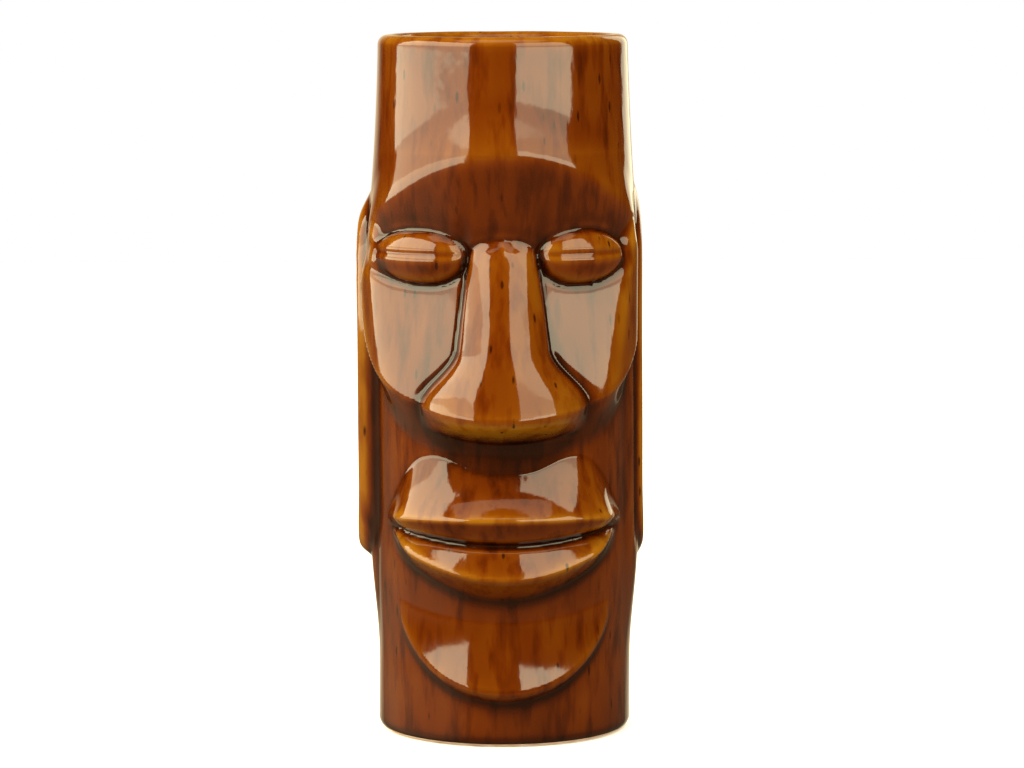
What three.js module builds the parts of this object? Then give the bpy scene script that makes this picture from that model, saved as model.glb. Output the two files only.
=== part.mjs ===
// A tiki mug: a slip-cast earthenware tumbler with a carved mask wrapped round its front, glazed in
// brown outside, inside and in the recess under its foot. Millimetres, +Z up, the face looks along -Y.
import * as THREE from "three";

// Overall sizes, measured over the glaze.
const MUG_HEIGHT = 179;
const BODY_RADIUS = 34.5;
const RIM_RADIUS = 31.9;
const BASE_RADIUS = 32.5;

// The casting and its coats.
const WALL = 3.2;
const FLOOR = 5;
const FOOT_EDGE = 2.8;
const FOOT_RING_WIDTH = 5;
const FOOT_RECESS = 2.2;
const RECESS_SLOPE = 0.8;
const COAT = 0.6;
const BOND = 0.3;
const GLAZE_LINE = 0.9;
const OUTER_COAT_INSIDE = 3;
const PATCH_MARGIN = 1;
const FLOOR_CORNER = 6;
const LIP_BLEND = 12;

// The column narrows over this height under the rim, and between these two heights near the base.
const SHOULDER_DROP = 49;
const SHOULDER_POWER = 1.5;
const SHOULDER_SOFT = 0.25;
const HIP = { low: 19, high: 50 };

// The bands above and below the face.
const FOREHEAD_HEIGHT = 29.8;
const CHIN_LINE = 13;

// The face is drawn on a column of this radius with its brow this far above the chin line,
// then stretched to the real column, so the heights below all count from the chin line.
const DRAWN_RADIUS = 34;
const DRAWN_FACE = 136.2;

const BROW = {
  proud: 0.9,
  arcHeight: 23.2,
  arcHalfWidth: 33.4,
  eyeLine: 117,
  depth: 2.9,
  swell: 14,
  soft: 0.5,
};
const CHEEK = {
  facing: THREE.MathUtils.degToRad(26.5),
  flatness: 0.88,
  top: 104,
  topRadius: 30.9,
  bottom: 76,
  bottomRadius: 34.3,
  crest: 112,
  step: 0.45,
  brim: 2.3,
  brimWiden: 0.15,
  brimSoft: 1.8,
  reach: 40.5,
  squareness: 4,
  turn: 11,
  turnPower: 1.7,
  soft: 0.8,
};
const LID = {
  across: 20.8,
  halfWidth: 10.4,
  up: 110.9,
  halfHeight: 7,
  outline: 2.3,
  base: -4.2,
  outerRise: 4.2,
  outerPower: 1.6,
  bulge: 4,
  bulgePower: 0.62,
};
const NOSE = {
  root: 115.6,
  rootRound: 7,
  rootSquare: 2.6,
  tip: 70,
  rootHalfWidth: 10,
  taper: 0.085,
  flare: 7.2,
  flareTop: 88,
  flareBottom: 74.5,
  rootProud: -3,
  tipProud: 8.8,
  rise: 0.8,
  smile: 0.0078,
  under: 5.8,
  underSoft: 0.25,
  ridgePower: 2,
  tipPower: 2.7,
  powerTop: 96,
};
const SKIN = { hollow: 1.9, low: 2, high: 46, soft: 1 };
const PHILTRUM = { depth: 0.9, fullWidth: 10, width: 21, top: 69, full: 63 };
const UPPER_LIP = {
  top: 56,
  peak: 4.6,
  peakAcross: 18.5,
  peakWidth: 8,
  fallFrom: 21.5,
  fall: 0.13,
  ledge: 45.8,
  droop: 0.0013,
  proud: 4.3,
  flare: 2.6,
  flareShare: 0.38,
  underPower: 0.75,
  soft: 0.6,
};
const MOUTH = { up: 38.4, curl: 0.0045, depth: 0.2, fadeFrom: 22, corner: 32 };
const LOWER_LIP = { edge: 30.2, curl: 0.0142, proud: 4.4, tuck: 6, soft: 1.1 };
const CHIN = {
  top: 18.6,
  topCurl: 0.0055,
  centre: 24.5,
  reach: 24.8,
  halfWidth: 28.4,
  proud: 2.9,
  edge: 2.6,
  edgeInside: 1,
  sideFade: 0.94,
};
const EAR = {
  front: 84,
  back: 116,
  top: 125.5,
  bottom: 31.5,
  proud: 2.3,
  hollow: 1,
  hollowWidth: 0.42,
  hollowFull: 0.6,
  hollowEnd: 0.9,
  sidePower: 2.6,
  topPower: 3.2,
  bottomPower: 8,
  full: 0.62,
  foot: 1.3,
};

// The face fades into the ears between these angles, in degrees from the front.
const SIDE_FADE = { from: 72, to: 86 };

// How finely the surfaces are divided.
const COLUMNS = 48;
const FRONT_DENSITY = 0.42;
const ROWS_FOLLOW = 24;
const LIP_STEPS = 4;
const INNER_ROWS = 14;

const COATING = COAT + BOND;
const LIP_ROUND = WALL / 2;
const LIP_CENTRE = MUG_HEIGHT - COATING - LIP_ROUND;
const BROW_LINE = MUG_HEIGHT - FOREHEAD_HEIGHT;
const FACE_STRETCH = (BROW_LINE - CHIN_LINE) / DRAWN_FACE;
const FOOT_RING_OUTER = BASE_RADIUS - COATING - FOOT_EDGE;
const FOOT_RING_INNER = FOOT_RING_OUTER - FOOT_RING_WIDTH;
const FLOOR_TOP = FOOT_RECESS + FLOOR;

const clamp = THREE.MathUtils.clamp;
const lerp = THREE.MathUtils.lerp;

// A smooth 0 to 1 step as x goes from a to b; a may be above b.
function step(a, b, x) {
  const t = clamp((x - a) / (b - a), 0, 1);
  return t * t * (3 - 2 * t);
}

// A bell of height 1 round 0.
function bell(x, width) {
  return Math.exp(-((x / width) ** 2));
}

// A quarter of a superellipse: 1 at 0, falling to 0 at 1.
function dome(x, power) {
  return Math.pow(1 - Math.pow(Math.min(Math.abs(x), 1), power), 1 / power);
}

// The larger of a and b, with the corner between them rounded over k, and the smaller likewise.
function softMax(a, b, k) {
  const near = Math.max(1 - Math.abs(a - b) / k, 0);
  return Math.max(a, b) + (k / 4) * near * near;
}

function softMin(a, b, k) {
  return -softMax(-a, -b, k);
}

// The plain column without its face: narrower at the rim and the base, with a rounded foot edge.
function columnRadius(z) {
  const up = clamp((MUG_HEIGHT - z) / SHOULDER_DROP, 0, 1.4);
  const swell = (BODY_RADIUS - RIM_RADIUS) * softMin(Math.pow(up, SHOULDER_POWER), 1, SHOULDER_SOFT);
  const taper = (BODY_RADIUS - BASE_RADIUS) * (1 - step(HIP.low, HIP.high, z));
  const lift = clamp(FOOT_EDGE - z, 0, FOOT_EDGE);
  const edge = FOOT_EDGE - Math.sqrt(FOOT_EDGE ** 2 - lift ** 2);
  return RIM_RADIUS + swell - taper - edge;
}

// Heights of the brow arc and of the lower cheek line, which meet at the sides of the mask.
function browArc(u) {
  return DRAWN_FACE - BROW.arcHeight * (1 - dome(u / BROW.arcHalfWidth, 2));
}

function cheekLine(u) {
  return DRAWN_FACE - BROW.arcHeight - CHEEK.reach * dome(u / BROW.arcHalfWidth, CHEEK.squareness);
}

// The brow: a slight swelling above its arc, and a plane that falls back from the arc to the eyes.
function browRelief(u, v) {
  const top = browArc(u);
  const above = BROW.proud * (1 - step(top, top + BROW.swell, v));
  const fall = ((BROW.proud + BROW.depth) * (top - v)) / (DRAWN_FACE - BROW.eyeLine);
  return softMin(above, BROW.proud - fall, BROW.soft);
}

// The cheeks: nearly flat facets that lean back up to the eyes and end at a brim by the ears.
function cheekRelief(u, v, angle, column, skin) {
  const slope = (CHEEK.bottomRadius - CHEEK.topRadius) / (CHEEK.top - CHEEK.bottom);
  const distance = CHEEK.topRadius + slope * (CHEEK.top - v);
  const off = Math.abs(angle) - CHEEK.facing;
  const facet = distance / Math.pow(Math.cos(off), CHEEK.flatness) - column;
  const brim = Math.min(CHEEK.brim, BROW.proud + CHEEK.brimWiden * (browArc(u) - v));
  const crest = CHEEK.step * Math.max(v - CHEEK.crest, 0);
  const surface = softMin(facet - crest, brim, CHEEK.brimSoft);
  const turned = clamp((cheekLine(u) - v) / CHEEK.turn, 0, 1);
  return skin + (surface - skin) * Math.pow(1 - turned, CHEEK.turnPower);
}

// The closed lids laid over the ground: bulges with an almond outline, further out at the temples.
function withLids(ground, u, v) {
  const x = (Math.abs(u) - LID.across) / LID.halfWidth;
  const y = (v - LID.up) / LID.halfHeight;
  const q = Math.pow(Math.abs(x), LID.outline) + y * y;
  if (q >= 1) return ground;
  const base = LID.base + LID.outerRise * Math.pow((1 + x) / 2, LID.outerPower);
  return Math.max(ground, base + LID.bulge * Math.pow(1 - q, LID.bulgePower));
}

// The nose laid over the ground: a ridge that stands further out and spreads into wings at its tip.
function withNose(ground, u, v) {
  const flare = NOSE.flare * step(NOSE.flareTop, NOSE.flareBottom, v);
  const halfWidth = NOSE.rootHalfWidth + NOSE.taper * Math.max(NOSE.root - v, 0) + flare;
  const past = Math.max((v - NOSE.root + NOSE.rootRound) / NOSE.rootRound, 0);
  const outline = Math.pow(Math.abs(u) / halfWidth, NOSE.rootSquare) + Math.pow(past, NOSE.rootSquare);
  const x = Math.min(Math.pow(outline, 1 / NOSE.rootSquare), 1);
  const power = lerp(NOSE.ridgePower, NOSE.tipPower, step(NOSE.powerTop, NOSE.flareBottom, v));
  const along = clamp((NOSE.root - v) / (NOSE.root - NOSE.tip), 0, 1.2);
  const proud = lerp(NOSE.rootProud, NOSE.tipProud, Math.pow(along, NOSE.rise));
  const turned = softMin(Math.max((v - noseTip(u) + NOSE.under) / NOSE.under, 0), 1, NOSE.underSoft);
  return ground + Math.max(proud - ground, 0) * (1 - Math.pow(x, power)) * turned;
}

// Depth of the shallow bowl between the nose and the upper lip.
function philtrum(u) {
  return PHILTRUM.depth * step(PHILTRUM.width, PHILTRUM.fullWidth, Math.abs(u));
}

function noseTip(u) {
  return NOSE.tip + NOSE.smile * u * u;
}

function mouthLine(u) {
  return MOUTH.up + MOUTH.curl * u * u;
}

// Heights of the upper lip's bowed outline, of its ledge and of the lower lip's edge.
function upperLipTop(w) {
  const peak = UPPER_LIP.peak * bell(w - UPPER_LIP.peakAcross, UPPER_LIP.peakWidth);
  return UPPER_LIP.top + peak - UPPER_LIP.fall * Math.max(w - UPPER_LIP.fallFrom, 0) ** 2;
}

function upperLipLedge(u) {
  return UPPER_LIP.ledge - UPPER_LIP.droop * u * u;
}

function lowerLipEdge(u) {
  return LOWER_LIP.edge + LOWER_LIP.curl * u * u;
}

// The upper lip: flares from its bowed outline to a ledge, then turns in under it to the mouth.
function withUpperLip(ground, u, v, skin) {
  const top = upperLipTop(Math.abs(u));
  if (v > top) return ground;
  const ledge = upperLipLedge(u);
  const fade = step(MOUTH.corner, MOUTH.fadeFrom, Math.abs(u));
  const base = skin - philtrum(u);
  const proud = base + (UPPER_LIP.proud - base) * fade;
  const t = clamp((top - v) / Math.max(top - ledge, 2), 0, 1.3);
  const face = lerp(base, proud, lerp(t, Math.pow(t, UPPER_LIP.flare), UPPER_LIP.flareShare));
  const depth = lerp(skin, MOUTH.depth, fade);
  const mouth = mouthLine(u);
  const rise = Math.max(v - mouth, 0) / (ledge - mouth);
  const under = lerp(depth, proud, Math.pow(rise, UPPER_LIP.underPower));
  return Math.max(ground, softMin(face, under, UPPER_LIP.soft));
}

// The lower lip: leans out from the mouth to its curved edge, then tucks in to the chin.
function lowerLip(u, v, skin) {
  const fade = step(MOUTH.corner, MOUTH.fadeFrom, Math.abs(u));
  const edge = lowerLipEdge(u);
  const mouth = mouthLine(u);
  const depth = lerp(skin, MOUTH.depth, fade);
  const proud = lerp(skin, LOWER_LIP.proud, fade);
  const face = lerp(depth, proud, clamp((mouth - v) / Math.max(mouth - edge, 1), 0, 2));
  const under = lerp(skin, proud, clamp((v - edge + LOWER_LIP.tuck) / LOWER_LIP.tuck, 0, 3));
  return softMax(softMin(face, under, LOWER_LIP.soft), skin, SKIN.soft);
}

function chinTop(u) {
  return CHIN.top + CHIN.topCurl * u * u;
}

// The chin: a shield inside a U outline that stands further out towards its lower edge.
function chinRelief(u, v) {
  const x = Math.min(Math.abs(u) / CHIN.halfWidth, 1);
  const bottom = CHIN.centre - CHIN.reach * dome(x, 2);
  const plate = CHIN.proud * clamp((chinTop(u) - v) / (CHIN.top - CHIN.centre + CHIN.reach), 0, 1.2);
  const drop = step(bottom + CHIN.edgeInside - CHIN.edge, bottom + CHIN.edgeInside, v);
  return plate * drop * step(1, CHIN.sideFade, x);
}

// The whole face over the column: each feature is laid over the one before.
function faceRelief(u, v, angle, column) {
  const skin = -SKIN.hollow * step(SKIN.low, SKIN.high, v);
  const brow = browRelief(u, v);
  const cheek = cheekRelief(u, v, angle, column, skin);
  const mask = v > browArc(u) ? brow : softMax(brow, cheek, CHEEK.soft);
  const bowl = philtrum(u) * step(PHILTRUM.top, PHILTRUM.full, v);
  const face = withNose(withLids(mask - bowl, u, v), u, v);
  const lips = v < mouthLine(u) ? lowerLip(u, v, skin) : withUpperLip(face, u, v, skin);
  return lips + chinRelief(u, v);
}

// Long flaps at the sides, hollowed along their length.
function earRelief(degrees, v) {
  const x = (Math.abs(degrees) - (EAR.front + EAR.back) / 2) / ((EAR.back - EAR.front) / 2);
  const y = (v - (EAR.top + EAR.bottom) / 2) / ((EAR.top - EAR.bottom) / 2);
  const end = y > 0 ? EAR.topPower : EAR.bottomPower;
  const q = Math.pow(Math.abs(x), EAR.sidePower) + Math.pow(Math.abs(y), end);
  const hollow = EAR.hollow * bell(x, EAR.hollowWidth) * step(EAR.hollowEnd, EAR.hollowFull, Math.abs(y));
  return (EAR.proud - hollow) * step(EAR.foot, EAR.full, q);
}

// Outside radius of the finished mug, over the glaze, at an angle from the front and a height.
function finishedRadius(angle, z) {
  const v = (z - CHIN_LINE) / FACE_STRETCH;
  const column = columnRadius(z);
  const degrees = THREE.MathUtils.radToDeg(angle);
  const plain = column + earRelief(degrees, v);
  if (Math.cos(angle) <= 0) return plain;
  const fade = step(SIDE_FADE.to, SIDE_FADE.from, Math.abs(degrees));
  return plain + faceRelief(DRAWN_RADIUS * Math.sin(angle), v, angle, column) * fade;
}

// Outside radius of the bare clay under its coat.
function clayRadius(angle, z) {
  return finishedRadius(angle, z) - COATING;
}

// Inside radius of the clay: the slip builds up one wall thickness behind the nearest outside point,
// so the face shows through softly.
function cavityRadius(angle, z) {
  const turn = WALL / BODY_RADIUS;
  const near = [-1, 0, 1];
  const outside = (i, j) => clayRadius(angle + i * turn, Math.max(z + j * WALL, FOOT_EDGE));
  const thinnest = Math.min(...near.flatMap((i) => near.map((j) => outside(i, j))));
  const corner = Math.max(FLOOR_TOP + FLOOR_CORNER - z, 0);
  const bend = FLOOR_CORNER - Math.sqrt(Math.max(FLOOR_CORNER ** 2 - corner ** 2, 0));
  const rimmed = lerp(thinnest, columnRadius(z) - COATING, step(LIP_CENTRE - LIP_BLEND, LIP_CENTRE, z));
  return rimmed - WALL - bend;
}

// Heights of the outside rows at an angle: they follow the chin, the lips, the nose and the brow across
// the face, and lie far apart on the plain bands.
function outerHeights(angle) {
  const across = Math.cos(angle) > 0 ? Math.abs(DRAWN_RADIUS * Math.sin(angle)) : DRAWN_RADIUS;
  const u = Math.min(across, ROWS_FOLLOW);
  const face = (v) => CHIN_LINE + v * FACE_STRETCH;
  const bands = [
    [0, GLAZE_LINE, 1],
    [GLAZE_LINE, FOOT_EDGE, 2],
    [FOOT_EDGE, CHIN_LINE, 2],
    [CHIN_LINE, face(chinTop(u)), 5],
    [face(chinTop(u)), face(lowerLipEdge(u) - LOWER_LIP.tuck), 2],
    [face(lowerLipEdge(u) - LOWER_LIP.tuck), face(lowerLipEdge(u)), 3],
    [face(lowerLipEdge(u)), face(mouthLine(u)), 4],
    [face(mouthLine(u)), face(upperLipLedge(u)), 4],
    [face(upperLipLedge(u)), face(upperLipTop(u)), 6],
    [face(upperLipTop(u)), face(noseTip(u) - NOSE.under), 3],
    [face(noseTip(u) - NOSE.under), face(noseTip(u)), 3],
    [face(noseTip(u)), face(NOSE.flareTop), 6],
    [face(NOSE.flareTop), face(LID.up - LID.halfHeight), 3],
    [face(LID.up - LID.halfHeight), face(LID.up + LID.halfHeight), 7],
    [face(LID.up + LID.halfHeight), face(browArc(u)), 5],
    [face(browArc(u)), LIP_CENTRE, 4],
  ];
  return bands.flatMap(([from, to, count], i) =>
    Array.from({ length: count + (i === bands.length - 1 ? 1 : 0) }, (_, k) => lerp(from, to, k / count)),
  );
}

// Heights of the inside rows, from the lip down to the floor.
function innerHeights() {
  return Array.from({ length: INNER_ROWS + 1 }, (_, k) => lerp(LIP_CENTRE, FLOOR_TOP, k / INNER_ROWS));
}

// Half a turn over the lip, out to in, on a circle that stands offset from the clay's round lip.
function lipArc(angle, offset) {
  const outer = clayRadius(angle, LIP_CENTRE);
  const centre = (outer + cavityRadius(angle, LIP_CENTRE)) / 2;
  const radius = (outer - cavityRadius(angle, LIP_CENTRE)) / 2 + offset;
  return Array.from({ length: LIP_STEPS - 1 }, (_, k) => {
    const turn = (Math.PI * (k + 1)) / LIP_STEPS;
    return [centre + radius * Math.cos(turn), LIP_CENTRE + radius * Math.sin(turn)];
  });
}

// Angles of the columns, closer together at the front, where the face is.
function columnAngles() {
  return Array.from({ length: COLUMNS }, (_, k) => {
    const t = (2 * Math.PI * k) / COLUMNS - Math.PI;
    return t - FRONT_DENSITY * Math.sin(t);
  });
}

// A closed body from one section for each column. A section is a list of [radius, height] that either
// closes on itself, or starts and ends on the axis. Each quad is split along the same diagonal whichever
// way its section runs, so that two shells with a thin gap never cross, and mirrored left to right.
function wrap(sectionAt, ring) {
  const angles = columnAngles();
  const sections = angles.map(sectionAt);
  const rows = sections[0].length;
  const position = [];
  const index = [];
  sections.forEach((section, i) =>
    section.forEach(([r, z]) => position.push(r * Math.sin(angles[i]), -r * Math.cos(angles[i]), z)),
  );
  const vertex = (i, j) => {
    const pole = !ring && (j === 0 || j === rows - 1);
    return (pole ? 0 : i % COLUMNS) * rows + (j % rows);
  };
  for (let i = 0; i < COLUMNS; i += 1) {
    for (let j = 0; j < (ring ? rows : rows - 1); j += 1) {
      const [a, b, c, d] = [vertex(i, j), vertex(i + 1, j), vertex(i + 1, j + 1), vertex(i, j + 1)];
      const rising = sections[i][(j + 1) % rows][1] > sections[i][j][1];
      if (a === b) index.push(a, c, d);
      else if (c === d) index.push(a, b, c);
      else if (rising === i < COLUMNS / 2) index.push(a, b, c, a, c, d);
      else index.push(a, b, d, b, c, d);
    }
  }
  const geometry = new THREE.BufferGeometry();
  geometry.setAttribute("position", new THREE.Float32BufferAttribute(position, 3));
  geometry.setIndex(index);
  geometry.computeVertexNormals();
  return geometry;
}

// The casting: recessed underside, foot ring, carved outside, round lip, drained inside and floor.
function clayBody() {
  const section = (angle) => [
    [0, FOOT_RECESS],
    [FOOT_RING_INNER - RECESS_SLOPE, FOOT_RECESS],
    [FOOT_RING_INNER, 0],
    ...outerHeights(angle).map((z) => [clayRadius(angle, z), z]),
    ...lipArc(angle, 0),
    ...innerHeights().map((z) => [cavityRadius(angle, z), z]),
    [0, FLOOR_TOP],
  ];
  return wrap(section, false);
}

// The brown coat: up the outside from just above the foot, over the lip and a little way inside.
function outerGlaze() {
  const inside = [LIP_CENTRE, LIP_CENTRE - OUTER_COAT_INSIDE];
  const coated = (angle) => outerHeights(angle).filter((z) => z >= GLAZE_LINE);
  const face = (angle, offset) => [
    ...coated(angle).map((z) => [clayRadius(angle, z) + offset, z]),
    ...lipArc(angle, offset),
    ...inside.map((z) => [cavityRadius(angle, z) - offset, z]),
  ];
  return wrap((angle) => [...face(angle, BOND + COAT), ...face(angle, BOND).reverse()], true);
}

// The liner coat: the inside wall and floor, up to where the outer coat ends.
function linerGlaze() {
  const top = LIP_CENTRE - OUTER_COAT_INSIDE - BOND;
  const heights = innerHeights().filter((z) => z < top && z > FLOOR_TOP);
  const face = (angle, offset) => [
    ...[top, ...heights].map((z) => [cavityRadius(angle, z) - offset, Math.max(z, FLOOR_TOP + offset)]),
    [cavityRadius(angle, FLOOR_TOP) - offset, FLOOR_TOP + offset],
    [0, FLOOR_TOP + offset],
  ];
  return wrap((angle) => [...face(angle, BOND).reverse(), ...face(angle, BOND + COAT)], false);
}

// The patch of glaze in the recess under the floor, inside the dry foot ring.
function baseGlaze() {
  const radius = FOOT_RING_INNER - RECESS_SLOPE - PATCH_MARGIN;
  const top = FOOT_RECESS - BOND;
  const profile = [
    new THREE.Vector2(0, top - COAT),
    new THREE.Vector2(radius - COAT / 2, top - COAT),
    new THREE.Vector2(radius, top - COAT / 2),
    new THREE.Vector2(radius, top),
    new THREE.Vector2(0, top),
  ];
  return new THREE.LatheGeometry(profile, COLUMNS).rotateX(Math.PI / 2);
}

function piece(name, geometry, colour, roughness) {
  const material = new THREE.MeshStandardMaterial({ color: colour, roughness, metalness: 0 });
  const mesh = new THREE.Mesh(geometry, material);
  mesh.name = name;
  return mesh;
}

const mug = new THREE.Group();
mug.add(piece("clay_body", clayBody(), "#c9a27c", 0.8));
mug.add(piece("outer_glaze", outerGlaze(), "#7b3a0c", 0.12));
mug.add(piece("liner_glaze", linerGlaze(), "#6b300a", 0.15));
mug.add(piece("base_glaze", baseGlaze(), "#5f2a09", 0.18));

// The nose stands out at the front, so the mug's box is centred on the origin by moving the group.
const box = new THREE.Box3().setFromObject(mug);
mug.position.set(-(box.min.x + box.max.x) / 2, -(box.min.y + box.max.y) / 2, -box.min.z);

export default mug;
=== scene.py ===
"""A slip-cast tiki mug under a treacle-brown glaze.

Every surface is a function of an angle round the mug and a height up it, worked out on a grid. The
lengths in the classes below are millimetres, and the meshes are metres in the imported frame. On the
face, u runs across from its middle line and v runs up from the chin's lower edge.
"""

import logging
import math
from dataclasses import dataclass, field
from enum import Enum

import bpy
import numpy as np
from mathutils import Matrix, Vector


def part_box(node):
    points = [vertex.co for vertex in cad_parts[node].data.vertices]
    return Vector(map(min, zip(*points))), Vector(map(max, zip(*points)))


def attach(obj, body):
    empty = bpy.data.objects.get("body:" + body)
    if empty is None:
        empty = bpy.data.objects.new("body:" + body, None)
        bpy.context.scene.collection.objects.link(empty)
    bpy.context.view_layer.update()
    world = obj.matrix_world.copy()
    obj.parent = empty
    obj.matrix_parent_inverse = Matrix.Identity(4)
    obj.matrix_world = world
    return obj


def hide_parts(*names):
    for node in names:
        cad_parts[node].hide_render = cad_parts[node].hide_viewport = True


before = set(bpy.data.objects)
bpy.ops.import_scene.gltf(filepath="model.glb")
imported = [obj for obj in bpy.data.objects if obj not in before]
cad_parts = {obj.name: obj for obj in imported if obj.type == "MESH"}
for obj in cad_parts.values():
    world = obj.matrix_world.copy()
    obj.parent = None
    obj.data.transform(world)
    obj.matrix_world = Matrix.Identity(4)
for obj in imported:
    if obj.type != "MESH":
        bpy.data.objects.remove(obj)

LOG = logging.getLogger("tiki_mug")
MM = 0.001

# The power at which dome() is a quarter of an ellipse.
ELLIPSE = 2.0
# How far under the ground a feature is put where it is absent.
ABSENT = 9.0
# Keeps a rounding's width above 0 where the rounding fades out.
LEAST_ROUND = 0.01
# Three box blurs in a row are nearly a bell curve.
BLUR_PASSES = 3
# Depth of the coat on plain wall, on the scale from bare edge (0) to pool (1).
PLAIN_DEPTH = 0.5

Array = np.ndarray
Span = tuple[float, float, float, float]


# --------------------------------------------------------------------------- curves used everywhere


def smooth(start: float | Array, end: float | Array, x: Array) -> Array:
    """A step from 0 to 1 with level ends: 3t^2 - 2t^3, where t runs from start to end.

    Args:
        start: where the step is 0.
        end: where the step is 1; it may lie below start.
        x: the places asked for.

    Returns:
        The step at each place.
    """
    t = ramp(start, end, x)
    return t * t * (3.0 - 2.0 * t)


def ramp(start: float | Array, end: float | Array, x: Array) -> Array:
    """A straight climb from 0 to 1 as x goes from start to end."""
    return np.clip((x - start) / (end - start), 0.0, 1.0)


def soft_max(a: Array, b: Array, k: float | Array) -> Array:
    """The larger of a and b, with the corner where they cross rounded over k: max + k/4 (1 - |a-b|/k)^2."""
    gap = np.clip(1.0 - np.abs(a - b) / k, 0.0, 1.0)
    return np.maximum(a, b) + 0.25 * k * gap * gap


def soft_min(a: Array, b: Array, k: float | Array) -> Array:
    """The smaller of a and b, with the corner where they cross rounded over k."""
    return -soft_max(-a, -b, k)


def bell(x: Array, width: float) -> Array:
    """A bell of height 1 centred on 0: exp(-(x / width)^2)."""
    return np.exp(-((x / width) ** 2))


def dome(x: Array, power: float) -> Array:
    """A superellipse quarter that is 1 at 0 and falls to 0 at x = 1: (1 - |x|^power)^(1 / power)."""
    return (1.0 - np.clip(np.abs(x), 0.0, 1.0) ** power) ** (1.0 / power)


# --------------------------------------------------------------------------- the carved face


@dataclass
class Brow:
    """The brow arc and the plane that falls back from it to the eyes."""

    line: float = 136.2
    arc_height: float = 23.2
    arc_half_width: float = 33.4
    proud: float = 0.9
    eye_line: float = 117.0
    depth: float = 2.9
    swell: float = 14.0
    edge_round: float = 0.5

    def arc(self, u: Array) -> Array:
        """Height of the arc: the upper half of an ellipse."""
        return self.line - self.arc_height * (1.0 - dome(u / self.arc_half_width, ELLIPSE))

    def surface(self, u: Array, v: Array) -> Array:
        """The forehead's swelling above the arc, and a straight slope down and in below it.

        Args:
            u: places across the face.
            v: places up the face.

        Returns:
            How far the brow stands out of the column.
        """
        top = self.arc(u)
        above = self.proud * (1.0 - smooth(top, top + self.swell, v))
        fall = (self.proud + self.depth) * (top - v) / (self.line - self.eye_line)
        return soft_min(above, self.proud - fall, self.edge_round)


@dataclass
class Cheek:
    """Two nearly flat facets that lean back up to the eyes, cut off below by a curved line."""

    facing: float = math.radians(26.5)
    facing_reach: float = 1.2
    flatness: float = 0.88
    top: float = 104.0
    top_radius: float = 30.9
    bottom: float = 76.0
    bottom_radius: float = 34.3
    brim_left: float = 2.7
    brim_right: float = 1.9
    softness_left: float = 2.4
    softness_right: float = 1.1
    reach: float = 40.5
    squareness: float = 4.0
    turn: float = 11.0
    turn_power: float = 1.7
    crest: float = 112.0
    crest_slope: float = 0.45
    widen: float = 0.15

    def lower_line(self, u: Array, brow: Brow) -> Array:
        """Height of the cheek's lower edge: a squarish half ellipse hung from the arc's ends."""
        ends = brow.line - brow.arc_height
        return ends - self.reach * dome(u / brow.arc_half_width, self.squareness)

    def surface(self, u: Array, v: Array, angle: Array, column: Array, skin: Array, brow: Brow) -> Array:
        """The facet's distance p(v) over cos^flatness of the angle off its facing, less the column.

        Args:
            u: places across the face.
            v: places up the face.
            angle: angles from the face's middle line.
            column: radius of the plain column.
            skin: relief of the plain skin below the cheek.
            brow: the brow, under whose arc the cheek stays.

        Returns:
            How far the cheek stands out of the column; below its lower line it turns in to the skin.
        """
        down = (self.top - v) / (self.top - self.bottom)
        distance = self.top_radius + (self.bottom_radius - self.top_radius) * down
        off = np.clip(np.abs(angle) - self.facing, -self.facing_reach, self.facing_reach)
        facet = distance / np.cos(off) ** self.flatness - column
        facet = facet - self.crest_slope * np.clip(v - self.crest, 0.0, None)
        brim = np.where(angle < 0.0, self.brim_left, self.brim_right)
        under_arc = brow.proud + self.widen * (brow.arc(u) - v)
        softness = np.where(angle < 0.0, self.softness_left, self.softness_right)
        facet = soft_min(facet, np.minimum(brim, under_arc), softness)
        low = self.lower_line(u, brow)
        kept = (1.0 - ramp(low, low - self.turn, v)) ** self.turn_power
        return skin + (facet - skin) * kept


@dataclass
class Eye:
    """A closed almond lid that bulges out of the socket, with a soft line between the two lids."""

    across: float
    half_width: float
    bulge: float
    up: float = 110.9
    half_height: float = 7.0
    almond_power: float = 2.3
    fullness: float = 0.62
    line_up: float = 111.8
    line_depth: float = 0.4
    line_width: float = 0.8
    line_full: float = 0.5
    groove: float = 0.45
    groove_width: float = 0.9
    groove_place: float = 1.02
    base: float = -4.2
    outer_rise: float = 4.2
    rise_power: float = 1.6
    pit: float = 0.8
    pit_width: float = 2.1
    pit_inset: float = 0.2

    def over(self, u: Array, v: Array, ground: Array) -> Array:
        """Lays base + bulge (1 - q)^fullness over the ground, with q the squared radius of the almond.

        Args:
            u: places across the face.
            v: places up the face.
            ground: the relief that the lid lies in.

        Returns:
            The relief with the lid, its line, the groove round it and the pit at its inner corner.
        """
        x = (u - self.across) / self.half_width
        y = (v - self.up) / self.half_height
        q = np.abs(x) ** self.almond_power + np.abs(y) ** ELLIPSE
        body = self.bulge * np.clip(1.0 - q, 0.0, 1.0) ** self.fullness
        cut = self.line_depth * bell(v - self.line_up, self.line_width) * smooth(1.0, self.line_full, q)
        outline = self.groove * bell((np.sqrt(q) - self.groove_place) * self.half_height, self.groove_width)
        side = np.sign(self.across)
        outer = np.clip(x * side, -1.0, 1.0)
        base = self.base + self.outer_rise * (0.5 + 0.5 * outer) ** self.rise_power
        lid = np.where(q < 1.0, base + body - cut, ground - ABSENT)
        inner = self.across - side * (self.half_width - self.pit_inset)
        pit = self.pit * bell(u - inner, self.pit_width) * bell(v - self.up, self.half_height)
        return np.maximum(ground - pit, lid) - outline


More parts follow.
